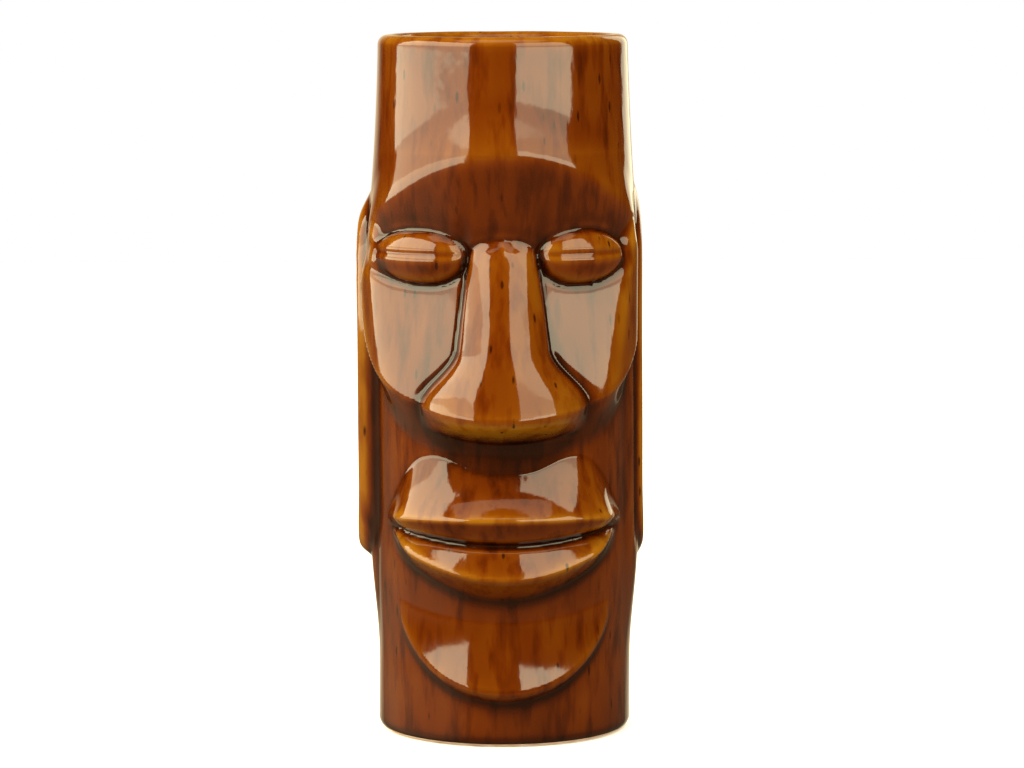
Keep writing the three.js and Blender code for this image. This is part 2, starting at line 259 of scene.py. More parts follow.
@dataclass
class Nose:
    """A ridge that stands further out towards its tip, where it widens into two wings."""

    root: float = 115.6
    root_round: float = 7.0
    root_square: float = 2.6
    tip: float = 70.0
    root_half_width: float = 10.0
    taper: float = 0.085
    flare: float = 7.2
    flare_top: float = 88.0
    flare_bottom: float = 74.5
    root_proud: float = -3.0
    tip_proud: float = 8.8
    rise: float = 0.8
    run_on: float = 1.2
    smile: float = 0.0078
    under: float = 5.8
    under_round: float = 0.25
    ridge_power: float = 2.0
    tip_power: float = 2.7
    tip_power_from: float = 96.0
    groove: float = 0.4
    groove_width: float = 0.9

    def half_width(self, v: Array) -> Array:
        """A narrow ridge that widens slowly, then flares at the wings."""
        wide = self.root_half_width + self.taper * np.clip(self.root - v, 0.0, None)
        return wide + self.flare * smooth(self.flare_top, self.flare_bottom, v)

    def tip_line(self, u: Array) -> Array:
        """Height of the tip's lower edge: a parabola that rises to the wings."""
        return self.tip + self.smile * u * u

    def over(self, u: Array, v: Array, ground: Array) -> Array:
        """Lifts the ground to the ridge by 1 - x^p, with x = 1 on the outline, and drops it under the tip.

        Args:
            u: places across the face.
            v: places up the face.
            ground: the relief that the nose stands on.

        Returns:
            The relief with the nose and the soft line round it.
        """
        past = np.clip((v - self.root + self.root_round) / self.root_round, 0.0, None)
        across = np.abs(u / self.half_width(v)) ** self.root_square
        x = (across + past**self.root_square) ** (1.0 / self.root_square)
        flared = smooth(self.tip_power_from, self.flare_bottom, v)
        power = self.ridge_power + (self.tip_power - self.ridge_power) * flared
        along = np.clip((self.root - v) / (self.root - self.tip), 0.0, self.run_on)
        proud = self.root_proud + (self.tip_proud - self.root_proud) * along**self.rise
        over_tip = v - self.tip_line(u)
        lower = np.clip((over_tip + self.under) / self.under, 0.0, None)
        turned = soft_min(lower, np.ones_like(lower), self.under_round)
        lifted = np.clip(proud - ground, 0.0, None) * (1.0 - np.clip(x, 0.0, 1.0) ** power) * turned
        outline = self.groove * bell((x - 1.0) * self.root_half_width, self.groove_width)
        return ground + lifted - outline * smooth(-self.under, 0.0, over_tip)


@dataclass
class Lips:
    """An upper lip like a shelf with an undercut, and a lower lip like a crescent that leans back."""

    upper_top: float = 56.0
    peak: float = 4.6
    peak_across: float = 18.5
    peak_width: float = 8.0
    fall_from: float = 21.5
    fall: float = 0.13
    top_margin: float = 0.5
    ledge: float = 45.8
    ledge_proud: float = 4.3
    ledge_droop: float = 0.0013
    ledge_round: float = 0.6
    flare: float = 2.6
    flare_share: float = 0.38
    least_upper: float = 2.0
    upper_run_on: float = 1.3
    undercut_power: float = 0.75
    slope_limit: float = 3.0
    mouth: float = 38.4
    curl: float = 0.0045
    mouth_depth: float = 0.2
    fade_from: float = 22.0
    corner: float = 32.0
    lower_fade_from: float = 20.0
    lower_corner: float = 31.0
    lower_edge: float = 30.2
    lower_curl: float = 0.0142
    lower_proud: float = 4.4
    lower_tuck: float = 6.0
    lower_round: float = 1.1
    least_lower: float = 1.0
    lower_run_on: float = 2.0
    lip_roll: float = 0.3
    roll_reach: float = 0.14
    groove_depth: float = 1.15
    groove_width: float = 0.85
    groove_lift: float = 0.4
    groove_full: float = 25.0
    groove_end: float = 29.5
    bowl: float = 0.9
    bowl_full_width: float = 10.0
    bowl_half_width: float = 21.0
    bowl_top: float = 69.0
    bowl_floor: float = 63.0

    def mouth_line(self, u: Array) -> Array:
        """Height of the mouth: a shallow parabola that rises to the corners."""
        return self.mouth + self.curl * u * u

    def top_line(self, u: Array) -> Array:
        """Height of the upper lip's outline: two peaks, falling away to the corners.

        Args:
            u: places across the face.

        Returns:
            The outline's height at each place.
        """
        w = np.abs(u)
        fall = self.fall * np.clip(w - self.fall_from, 0.0, None) ** 2
        return self.upper_top + self.peak * bell(w - self.peak_across, self.peak_width) - fall

    def upper(self, u: Array, v: Array, skin: Array) -> Array:
        """From its top outline the lip flares out to the ledge, then turns in under it to the mouth.

        Args:
            u: places across the face.
            v: places up the face.
            skin: relief of the plain skin.

        Returns:
            How far the upper lip stands out of the column, and far below the skin over its outline.
        """
        top = self.top_line(u)
        ledge = self.ledge - self.ledge_droop * u * u
        mouth = self.mouth_line(u)
        fade = 1.0 - smooth(self.fade_from, self.corner, np.abs(u))
        skin = skin - self.bowl_across(u)
        rise = (self.ledge_proud - skin) * fade
        t = np.clip((top - v) / np.maximum(top - ledge, self.least_upper), 0.0, self.upper_run_on)
        face = skin + rise * ((1.0 - self.flare_share) * t + self.flare_share * t**self.flare)
        depth = (self.mouth_depth - skin) * fade
        slope = np.clip((v - mouth) / (ledge - mouth), 0.0, self.slope_limit) ** self.undercut_power
        under = skin + depth + (rise - depth) * slope
        return np.where(v < top + self.top_margin, soft_min(face, under, self.ledge_round), skin - ABSENT)

    def lower(self, u: Array, v: Array, skin: Array) -> Array:
        """From the mouth the lip leans out to its lower edge, then tucks in to the chin.

        Args:
            u: places across the face.
            v: places up the face.
            skin: relief of the plain skin.

        Returns:
            How far the lower lip or the skin under it stands out of the column.
        """
        fade = 1.0 - smooth(self.lower_fade_from, self.lower_corner, np.abs(u))
        edge = self.lower_edge + self.lower_curl * u * u
        mouth = self.mouth_line(u)
        depth = (self.mouth_depth - skin) * fade
        proud = (self.lower_proud - skin) * fade
        t = np.clip((mouth - v) / np.maximum(mouth - edge, self.least_lower), 0.0, self.lower_run_on)
        roll = self.lip_roll * fade * smooth(0.0, self.roll_reach, t)
        face = skin + depth + roll + (proud - depth - roll) * t
        tuck = np.clip((v - edge + self.lower_tuck) / self.lower_tuck, 0.0, self.slope_limit)
        return soft_max(soft_min(face, skin + proud * tuck, self.lower_round), skin, fade + LEAST_ROUND)

    def groove(self, u: Array, v: Array) -> Array:
        """The cut between the lips, which runs out at the corners."""
        ends = 1.0 - smooth(self.groove_full, self.groove_end, np.abs(u))
        return self.groove_depth * bell(v - self.mouth_line(u) - self.groove_lift, self.groove_width) * ends

    def bowl_across(self, u: Array) -> Array:
        """Depth of the hollow under the nose: full in the middle, with a smooth step to each side."""
        return self.bowl * smooth(self.bowl_half_width, self.bowl_full_width, np.abs(u))

    def bowl_under_nose(self, u: Array, v: Array) -> Array:
        """The hollow between nose and lip: a shallow bowl that runs down into the lip's outline."""
        return self.bowl_across(u) * smooth(self.bowl_top, self.bowl_floor, v)


@dataclass
class Chin:
    """A shield with a U outline that leans out towards its lower edge."""

    top: float = 18.6
    top_curl: float = 0.0055
    top_soft: float = 0.5
    centre: float = 24.5
    reach: float = 25.2
    half_width: float = 28.4
    start: float = 0.12
    proud: float = 3.1
    lean_power: float = 1.36
    run_on: float = 1.2
    edge: float = 3.6
    edge_below: float = 0.4
    side_fade: float = 0.94

    def surface(self, u: Array, v: Array) -> Array:
        """Inside the U the plate grows prouder as it goes down; at the U it drops back in a short slope.

        Args:
            u: places across the face.
            v: places up the face.

        Returns:
            What the plate adds to the relief.
        """
        x = np.clip(np.abs(u) / self.half_width, 0.0, 1.0)
        bottom = self.centre - self.reach * dome(x, ELLIPSE)
        top = self.top + self.top_curl * u * u
        t = np.clip((top - v) / (self.top - self.centre + self.reach), 0.0, self.run_on)
        plate = self.start * ramp(top + self.top_soft, top - self.top_soft, v)
        plate = plate + (self.proud - self.start) * t**self.lean_power
        low = bottom - self.edge_below * self.edge
        drop = smooth(low, low + self.edge, v)
        return plate * drop * (1.0 - smooth(self.side_fade, 1.0, x))


@dataclass
class Ear:
    """A long flap on one side of the head, with a groove before it and a shallow hollow along it.

    Places inside the flap are shares of its half width and half height, from -1 to 1.
    """

    side: float
    proud: float
    top: float
    front: float = math.radians(84.0)
    back: float = math.radians(116.0)
    bottom: float = 31.5
    side_power: float = 2.6
    top_power: float = 3.2
    bottom_power: float = 8.0
    edge_out: float = 1.3
    edge_in: float = 0.62
    hollow: float = 1.0
    hollow_place: float = 0.05
    hollow_width: float = 0.42
    hollow_end: float = 0.9
    hollow_full: float = 0.6
    lobe: float = 0.5
    lobe_place: float = -0.82
    lobe_tall: float = 0.16
    lobe_wide: float = 0.7
    groove: float = 0.7
    groove_width: float = math.radians(1.8)
    groove_ahead: float = 1.2
    groove_full: float = 0.8

    def surface(self, angle: Array, v: Array) -> Array:
        """A rounded bar in angle and height: a superellipse with a hollow down its middle.

        Args:
            angle: angles from the face's middle line.
            v: places up the face.

        Returns:
            What the ear adds to the relief.
        """
        across = angle * self.side
        x = (across - 0.5 * (self.front + self.back)) / (0.5 * (self.back - self.front))
        y = (v - 0.5 * (self.top + self.bottom)) / (0.5 * (self.top - self.bottom))
        q = np.abs(x) ** self.side_power + np.abs(y) ** np.where(y > 0.0, self.top_power, self.bottom_power)
        rise = smooth(self.edge_out, self.edge_in, q)
        hollow = self.hollow * bell(x - self.hollow_place, self.hollow_width)
        hollow = hollow * smooth(self.hollow_end, self.hollow_full, np.abs(y))
        lobe = self.lobe * bell(y - self.lobe_place, self.lobe_tall) * bell(x, self.lobe_wide)
        before = bell(across - self.front + self.groove_ahead * self.groove_width, self.groove_width)
        groove = self.groove * before * smooth(1.0, self.groove_full, np.abs(y))
        return (self.proud - hollow + lobe) * rise - groove


@dataclass
class Column:
    """The plain tumbler that the face is wrapped round: narrow at rim and base, widest at the ears."""

    rim_radius: float = 31.9
    body_radius: float = 34.5
    base_radius: float = 32.5
    shoulder: float = 130.0
    shoulder_power: float = 1.5
    shoulder_round: float = 0.25
    hip_low: float = 19.0
    hip_high: float = 50.0
    foot_edge: float = 2.8

    def radius(self, z: Array, height: float) -> Array:
        """The body's radius, less a power curve to the rim, a smooth step to the base and a rounded foot.

        Args:
            z: heights above the foot.
            height: the mug's height.

        Returns:
            The radius at each height.
        """
        up = np.clip((height - z) / (height - self.shoulder), 0.0, None) ** self.shoulder_power
        full = soft_min(up, np.ones_like(up), self.shoulder_round)
        top = self.rim_radius + (self.body_radius - self.rim_radius) * full
        low = (self.body_radius - self.base_radius) * (1.0 - smooth(self.hip_low, self.hip_high, z))
        lift = np.clip(self.foot_edge - z, 0.0, self.foot_edge)
        return top - low - (self.foot_edge - np.sqrt(self.foot_edge**2 - lift**2))


@dataclass(frozen=True)
class Wave:
    """One slow wave over the outside: size sin(turns angle + climb z + phase)."""

    size: float
    turns: float
    climb: float
    phase: float

    def at(self, angle: Array, z: Array) -> Array:
        """The wave's height at each place."""
        return self.size * np.sin(self.turns * angle + self.climb * z + self.phase)


@dataclass
class Head:
    """The whole glazed outside: column, face, ears and the small unevenness of a hand-finished cast."""

    height: float
    chin_line: float = 13.0
    drawn_radius: float = 34.0
    hollow: float = 1.9
    hollow_low: float = 2.0
    hollow_high: float = 46.0
    brow_round: float = 0.8
    right_full: float = math.radians(68.0)
    right_end: float = math.radians(84.0)
    left_full: float = math.radians(78.0)
    left_end: float = math.radians(88.0)
    column: Column = field(default_factory=Column)
    brow: Brow = field(default_factory=Brow)
    cheek: Cheek = field(default_factory=Cheek)
    left_eye: Eye = field(default_factory=lambda: Eye(across=-21.4, half_width=10.9, bulge=4.3))
    right_eye: Eye = field(default_factory=lambda: Eye(across=20.2, half_width=9.8, bulge=3.6))
    nose: Nose = field(default_factory=Nose)
    lips: Lips = field(default_factory=Lips)
    chin: Chin = field(default_factory=Chin)
    left_ear: Ear = field(default_factory=lambda: Ear(side=-1.0, proud=3.1, top=124.0))
    right_ear: Ear = field(default_factory=lambda: Ear(side=1.0, proud=1.4, top=127.0))
    wobble: float = 0.13
    waves: tuple[Wave, ...] = (
        Wave(0.5, 3.0, 0.055, 0.7),
        Wave(0.4, 5.0, -0.043, 2.1),
        Wave(0.3, 9.0, 0.09, 4.0),
        Wave(0.25, 2.0, 0.14, 0.0),
    )
    # Painted shade in the hollow between nose and upper lip, on the coat's depth scale, and where it reaches.
    under_nose_shade_depth: float = 0.3
    under_nose_shade_full_width: float = 13.0
    under_nose_shade_half_width: float = 20.0
    under_nose_shade_margin: float = 0.6
    under_nose_shade_over_lip: float = 1.2
    under_nose_shade_under_tip: float = 2.2

    def unevenness(self, angle: Array, z: Array) -> Array:
        """A few slow waves round and up the mug, as a cast has after sponging and firing."""
        return self.wobble * sum(wave.at(angle, z) for wave in self.waves)

    def face(self, u: Array, v: Array, angle: Array, column: Array) -> Array:
        """The face's relief over the column: each feature is laid over or cut into the one before.

        Args:
            u: places across the face.
            v: places up the face.
            angle: angles from the face's middle line.
            column: radius of the plain column.

        Returns:
            How far the face stands out of the column.
        """
        skin = -self.hollow * smooth(self.hollow_low, self.hollow_high, v)
        brow = self.brow.surface(u, v)
        cheek = self.cheek.surface(u, v, angle, column, skin, self.brow)
        mask = np.where(v > self.brow.arc(u), brow, soft_max(brow, cheek, self.brow_round))
        mask = mask - self.lips.bowl_under_nose(u, v)
        mask = self.left_eye.over(u, v, mask)
        mask = self.right_eye.over(u, v, mask)
        mask = self.nose.over(u, v, mask)
        upper = np.maximum(mask, self.lips.upper(u, v, skin))
        lower = self.lips.lower(u, v, skin)
        relief = np.where(v < self.lips.mouth_line(u), lower, upper) - self.lips.groove(u, v)
        return relief + self.chin.surface(u, v)

    def under_nose_painted_shade(self, angle: Array, z: Array) -> Array:
        """Painted shade in the bowl under the nose, added to the coat's depth: smooth steps at the lip's
        outline, the tip and the sides.

        Args:
            angle: angles from the face's middle line.
            z: heights above the foot.

        Returns:
            What the painted shade adds to the coat's depth.
        """
        u = self.drawn_radius * np.sin(angle)
        v = z - self.chin_line
        tip = self.nose.tip_line(u) - self.nose.under
        lip = self.lips.top_line(u)
        across = smooth(self.under_nose_shade_half_width, self.under_nose_shade_full_width, np.abs(u)) * (np.cos(angle) > 0.0)
        over_lip = smooth(lip - self.under_nose_shade_margin, lip + self.under_nose_shade_over_lip, v)
        under_tip = smooth(tip - self.under_nose_shade_margin, tip - self.under_nose_shade_under_tip, v)
        return self.under_nose_shade_depth * across * over_lip * under_tip

    def radius(self, angle: Array, z: Array) -> Array:
        """Radius of the finished, glazed outside.

        Args:
            angle: angles from the face's middle line, in radians, towards +X.
            z: heights above the foot.

        Returns:
            The radius at each place.
        """
        column = self.column.radius(z, self.height)
        v = z - self.chin_line
        front = np.clip(angle, -math.pi / 2, math.pi / 2)
        u = self.drawn_radius * np.sin(front)
        right = smooth(self.right_end, self.right_full, angle)
        left = smooth(self.left_end, self.left_full, -angle)
        relief = self.face(u, v, front, column) * np.where(angle < 0.0, left, right)
        ears = self.left_ear.surface(angle, v) + self.right_ear.surface(angle, v)
        return column + relief + ears + self.unevenness(angle, z)


# --------------------------------------------------------------------------- meshes


def box_blur(values: Array, reach: int, axis: int, wrap: bool) -> Array:
    """Three running means over 2 reach + 1 neighbours along one axis.

    Args:
        values: a grid of numbers, columns first.
        reach: neighbours on each side.
        axis: 0 to blur round the mug, 1 to blur up it.
        wrap: whether the axis closes on itself.

    Returns:
        The blurred grid.
    """
    width = 2 * reach + 1
    pad = [(0, 0), (0, 0)]
    pad[axis] = (reach, reach)
    for _ in range(BLUR_PASSES):
        total = np.cumsum(np.pad(values, pad, mode="wrap" if wrap else "edge"), axis=axis)
        high = np.take(total, range(width - 1, total.shape[axis]), axis=axis)
        low = np.take(total, range(0, total.shape[axis] - width), axis=axis)
        first = np.take(high, [0], axis=axis)
        rest = np.take(high, range(1, high.shape[axis]), axis=axis) - low
        values = np.concatenate([first, rest], axis) / width
    return values


def blur(values: Array, around: int, up: int) -> Array:
    """Blurs a grid round the mug and then up it."""
    return box_blur(box_blur(values, around, 0, True), up, 1, False)


def section(radius: Array | float, height: Array | float) -> Array:
    """Pairs radii with heights, spread to one shape, along a last axis."""
    return np.stack(np.broadcast_arrays(radius, height), axis=-1)


def place(radius: Array, height: Array, angle: Array, axis: Vector) -> Array:
    """Points at a radius, height and angle round the mug's axis: x = r sin a, y = -r cos a.

    Args:
        radius: distances from the axis.
        height: heights above the foot.
        angle: angles from the face's middle line.
        axis: where the axis meets the floor, in metres.

    Returns:
        Places in metres, with x, y and z along a last axis.
    """
    x = radius * np.sin(angle) * MM + axis.x
    y = -radius * np.cos(angle) * MM + axis.y
    z = height * MM + axis.z
    return np.stack([x, y, z], axis=-1)


def quads_of(columns: int, rows: int, ring: bool) -> Array:
    """Corner numbers of the quads on a grid that closes round its columns.

    Args:
        columns: how many columns stand round the mug.
        rows: how many points each column has.
        ring: whether each column closes on itself too.

    Returns:
        (m, 4) corner numbers.
    """
    i = np.arange(columns)[:, None]
    j = np.arange(rows if ring else rows - 1)[None, :]
    right = (i + 1) % columns
    up = (j + 1) % rows
    corners = [i * rows + j, right * rows + j, right * rows + up, i * rows + up]
    return np.stack(np.broadcast_arrays(*corners), axis=-1).reshape(-1, 4)


def mesh_piece(name: str, points: Array, quads: Array, fans: list[Array]) -> bpy.types.Object:
    """Makes an object from points and quads, closed at its poles by fans, and shades it smooth.

    Args:
        name: the piece's name.
        points: (n, 3) places in metres.
        quads: (m, 4) corner numbers, anticlockwise from outside.
        fans: rings of corner numbers, each ending with its pole, that close an open end.

    Returns:
        The new object, at the origin.
    """
    faces = quads.tolist()
    for fan in fans:
        ring, pole = fan[:-1], fan[-1]
        faces.extend(np.column_stack([ring, np.roll(ring, -1), np.full_like(ring, pole)]).tolist())
    mesh = bpy.data.meshes.new(name)
    mesh.from_pydata(points.tolist(), [], faces)
    mesh.polygons.foreach_set("use_smooth", np.ones(len(mesh.polygons), dtype=bool))
    mesh.update()
    piece = bpy.data.objects.new(name, mesh)
    bpy.context.scene.collection.objects.link(piece)
    return piece


def paint_pooling_and_shade(piece: bpy.types.Object, depth: Array) -> None:
    """Stores the coat's depth at each vertex, from 0 to 1, painted shade included, as the attribute that the
    glaze reads.

    Args:
        piece: the coat.
        depth: one number for each grid point; the poles after them get 0.
    """
    layer = piece.data.attributes.new("pooling_and_shade", "FLOAT", "POINT")
    full = np.zeros(len(piece.data.vertices), dtype=np.float32)
    full[: depth.size] = depth.ravel()
    layer.data.foreach_set("value", full)


# --------------------------------------------------------------------------- material helpers


def linear(code: str) -> tuple[float, float, float, float]:
    """An sRGB hex colour such as "#8a4a10" as linear red, green, blue and alpha."""
    channels = [int(code[i : i + 2], 16) / 255.0 for i in (1, 3, 5)]
    return (*[c / 12.92 if c <= 0.04045 else ((c + 0.055) / 1.055) ** 2.4 for c in channels], 1.0)


def limits(span: Span) -> dict[int, float]:
    """A span's four ends, from low and high to low and high, by the numbers of the inputs they set."""
    return dict(enumerate(span, start=1))


def add_node(
    tree: bpy.types.NodeTree,
    kind: str,
    settings: dict | None = None,
    inputs: dict | None = None,
    stops: list[tuple[float, str]] | None = None,
) -> bpy.types.Node:
    """Adds a node, sets its options, and sets or links its inputs.

    Args:
        tree: the material's or world's node tree.
        kind: the node's type, such as "ShaderNodeTexNoise".
        settings: the node's own options by name.
        inputs: input name or number to a value, or to the output socket that feeds it.
        stops: places and hex colours, for a node that holds a colour ramp.

    Returns:
        The new node.
    """
    node = tree.nodes.new(kind)
    for key, value in (settings or {}).items():
        setattr(node, key, value)
    for key, value in (inputs or {}).items():
        if isinstance(value, bpy.types.NodeSocket):
            tree.links.new(value, node.inputs[key])
        else:
            node.inputs[key].default_value = value
    if stops:
        # A new ramp has its two ends, so only the stops between them are added.
        elements = node.color_ramp.elements
        for position, _code in stops[1:-1]:
            elements.new(position)
        for stop, (position, code) in zip(elements, stops):
            stop.position, stop.color = position, linear(code)
    return node


def new_material(name: str) -> tuple[bpy.types.Material, bpy.types.NodeTree, bpy.types.Node]:
    """A material with one Principled shader wired to its output.

    Args:
        name: the finish's name.

    Returns:
        The material, its tree and the shader.
    """
    material = bpy.data.materials.new(name)
    material.use_nodes = True
    tree = material.node_tree
    tree.nodes.clear()
    shader = add_node(tree, "ShaderNodeBsdfPrincipled")
    add_node(tree, "ShaderNodeOutputMaterial", inputs={"Surface": shader.outputs["BSDF"]})
    return material, tree, shader


def per_mm(size: float) -> float:
    """The texture scale at which one cell of a pattern on metre coordinates is size millimetres wide."""
    return 1.0 / (size * MM)


# --------------------------------------------------------------------------- finishes


@dataclass(frozen=True)
class TreacleGlaze:
    """Iron-brown lead-free majolica-type glaze, dipped and poured, over buff earthenware.

    A thick glassy coat: it gives the eye hard mirror-like lights over a deep colour, which goes amber
    where the coat breaks thin on an edge and nearly black where it pools in a cut.
    """

    name: str = "treacle_glaze"
    thin: str = "#774707"
    lean: str = "#5e2c01"
    body: str = "#4f1d00"
    rich: str = "#391100"
    pooled: str = "#1f0700"
    roughness: float = 0.07
    ior: float = 1.5
    streak_width: float = 3.0
    streak_length: float = 14.0
    streak_detail: float = 3.0
    streak_span: Span = (0.48, 0.72, -0.03, 0.2)
    mottle_width: float = 11.0
    mottle_length: float = 24.2
    mottle_detail: float = 2.0
    mottle_span: Span = (0.3, 0.7, -0.09, 0.09)
    fleck_cell_width: float = 2.72
    fleck_cell_length: float = 9.36
    fleck_core: Span = (0.2, 0.1, 0.0, 1.0)
    fleck_choice: Span = (0.66, 0.8, 0.0, 0.85)
    peel_width: float = 2.2
    peel_length: float = 4.4
    peel_detail: float = 1.0
    relief_depth: float = 0.03

    @property
    def stops(self) -> list[tuple[float, str]]:
        """The coat's colour by its depth."""
        return [(0.0, self.thin), (0.3, self.lean), (0.5, self.body), (0.7, self.rich), (1.0, self.pooled)]

    def stretched(self, tree: bpy.types.NodeTree, width: float, length: float) -> bpy.types.NodeSocket:
        """Object coordinates scaled so that a pattern's cells are width across and length tall.

        Args:
            tree: the material's tree.
            width: millimetres across.
            length: millimetres up.

        Returns:
            The output to feed to a pattern of scale 1.
        """
        where = add_node(tree, "ShaderNodeTexCoord")
        scale = (per_mm(width), per_mm(width), per_mm(length))
        inputs = {"Vector": where.outputs["Object"], "Scale": scale}
        return add_node(tree, "ShaderNodeMapping", inputs=inputs).outputs["Vector"]

    def noise(
        self, tree: bpy.types.NodeTree, width: float, length: float, detail: float
    ) -> bpy.types.NodeSocket:
        """A cloudy pattern on stretched coordinates, from 0 to 1.

        Args:
            tree: the material's tree.
            width: millimetres across one cloud.
            length: millimetres up one cloud.
            detail: how many times finer clouds are added.

        Returns:
            The pattern's output.
        """
        inputs = {"Vector": self.stretched(tree, width, length), "Scale": 1.0, "Detail": detail}
        return add_node(tree, "ShaderNodeTexNoise", {"noise_dimensions": "3D"}, inputs).outputs["Fac"]

    def make(self) -> bpy.types.Material:
        """Builds the glaze: pooled depth, with its painted shade, picks the colour; runs, mottling and iron
        flecks vary it.

        Returns:
            The material.
        """
        material, tree, shader = new_material(self.name)
        # The depth read here is pooled glaze plus painted shade under the nose, in wide hollows and under
        # overhangs.
        pool = add_node(tree, "ShaderNodeAttribute", {"attribute_name": "pooling_and_shade"})
        runs = self.noise(tree, self.streak_width, self.streak_length, self.streak_detail)
        mottling = self.noise(tree, self.mottle_width, self.mottle_length, self.mottle_detail)
        run_part = add_node(tree, "ShaderNodeMapRange", inputs={"Value": runs, **limits(self.streak_span)})
        mottle_part = add_node(
            tree, "ShaderNodeMapRange", inputs={"Value": mottling, **limits(self.mottle_span)}
        )
        varied = add_node(
            tree, "ShaderNodeMath", {"operation": "ADD"}, {0: run_part.outputs[0], 1: mottle_part.outputs[0]}
        )
        depth = add_node(
            tree, "ShaderNodeMath", {"operation": "ADD"}, {0: varied.outputs[0], 1: pool.outputs["Fac"]}
        )
        colour = add_node(tree, "ShaderNodeValToRGB", inputs={"Fac": depth.outputs[0]}, stops=self.stops)
        flecked = add_node(
            tree,
            "ShaderNodeMix",
            {"data_type": "RGBA"},
            {0: self.flecks(tree), 6: colour.outputs["Color"], 7: linear(self.pooled)},
        )
        tree.links.new(flecked.outputs[2], shader.inputs["Base Color"])
        shader.inputs["Roughness"].default_value = self.roughness
        shader.inputs["IOR"].default_value = self.ior
        tree.links.new(self.relief(tree, runs), shader.inputs["Normal"])
        return material

    def flecks(self, tree: bpy.types.NodeTree) -> bpy.types.NodeSocket:
        """Short upright iron flecks: the cores of a few cells of a stretched cell pattern.

        Args:
            tree: the material's tree.

        Returns:
            The flecks' strength, from 0 to 1.
        """
        cells = add_node(
            tree,
            "ShaderNodeTexVoronoi",
            {"voronoi_dimensions": "3D", "feature": "F1"},
            {"Vector": self.stretched(tree, self.fleck_cell_width, self.fleck_cell_length), "Scale": 1.0},
        )
        core = add_node(
            tree, "ShaderNodeMapRange", inputs={"Value": cells.outputs["Distance"], **limits(self.fleck_core)}
        )
        split = add_node(tree, "ShaderNodeSeparateColor", inputs={"Color": cells.outputs["Color"]})
        chosen = add_node(
            tree, "ShaderNodeMapRange", inputs={"Value": split.outputs["Red"], **limits(self.fleck_choice)}
        )
        both = add_node(
            tree, "ShaderNodeMath", {"operation": "MULTIPLY"}, {0: core.outputs[0], 1: chosen.outputs[0]}
        )
        return both.outputs[0]

    def relief(self, tree: bpy.types.NodeTree, runs: bpy.types.NodeSocket) -> bpy.types.NodeSocket:
        """The coat's own surface: soft orange peel and upright runs.

        Args:
            tree: the material's tree.
            runs: the pattern of the runs.

        Returns:
            The bumped normal.
        """
        bump = {"Strength": 1.0, "Distance": self.relief_depth * MM}
        peel = self.noise(tree, self.peel_width, self.peel_length, self.peel_detail)
        first = add_node(tree, "ShaderNodeBump", inputs={**bump, "Height": peel})
        second = add_node(tree, "ShaderNodeBump", inputs={**bump, "Height": runs, "Normal": first.outputs[0]})
        return second.outputs[0]


@dataclass(frozen=True)
class Earthenware:
    """Unglazed fired earthenware, cast from slip and sponged: dry, matt and faintly speckled.

    Its grain is drawn coarser than the clay's own, which is too fine to show.
    """

    name: str = "sponged_earthenware"
    light: str = "#d2ad84"
    dark: str = "#b58c62"
    speck: str = "#6e4a30"
    roughness: float = 0.85
    dark_at: float = 0.35
    light_at: float = 0.65
    grain: float = 3.0
    grain_detail: float = 5.0
    grain_depth: float = 0.15
    grain_strength: float = 0.6
    speck_cell: float = 2.0
    speck_core: Span = (0.16, 0.06, 0.0, 0.7)

    def make(self) -> bpy.types.Material:
        """Builds the clay: fine mottling, iron specks and a sponged grain.

        Returns:
            The material.
        """
        material, tree, shader = new_material(self.name)
        where = add_node(tree, "ShaderNodeTexCoord")
        fine = add_node(
            tree,
            "ShaderNodeTexNoise",
            inputs={
                "Vector": where.outputs["Object"],
                "Scale": per_mm(self.grain),
                "Detail": self.grain_detail,
            },
        )
        colour = add_node(
            tree,
            "ShaderNodeValToRGB",
            inputs={"Fac": fine.outputs["Fac"]},
            stops=[(self.dark_at, self.dark), (self.light_at, self.light)],
        )
        cells = add_node(
            tree,
            "ShaderNodeTexVoronoi",
            inputs={"Vector": where.outputs["Object"], "Scale": per_mm(self.speck_cell)},
        )
        core = add_node(
            tree, "ShaderNodeMapRange", inputs={"Value": cells.outputs["Distance"], **limits(self.speck_core)}
        )
        specked = add_node(
            tree,
            "ShaderNodeMix",
            {"data_type": "RGBA"},
            {0: core.outputs[0], 6: colour.outputs["Color"], 7: linear(self.speck)},
        )
        tree.links.new(specked.outputs[2], shader.inputs["Base Color"])
        shader.inputs["Roughness"].default_value = self.roughness
        grain = {"Strength": self.grain_strength, "Distance": self.grain_depth * MM}
        bump = add_node(tree, "ShaderNodeBump", inputs={**grain, "Height": fine.outputs["Fac"]})
        tree.links.new(bump.outputs[0], shader.inputs["Normal"])
        return material


@dataclass(frozen=True)
class PaleFloor:
    """A plain white studio sweep: matt, so that it gives the eye no lights of its own."""

    name: str = "white_sweep"
    colour: str = "#f3f3f1"
    roughness: float = 0.9

    def make(self) -> bpy.types.Material:
        """Builds a matt white.

        Returns:
            The material.
        """
        material, _tree, shader = new_material(self.name)
        shader.inputs["Base Color"].default_value = linear(self.colour)
        shader.inputs["Roughness"].default_value = self.roughness
        shader.inputs["Specular IOR Level"].default_value = 0.0
        return material


# --------------------------------------------------------------------------- the mug


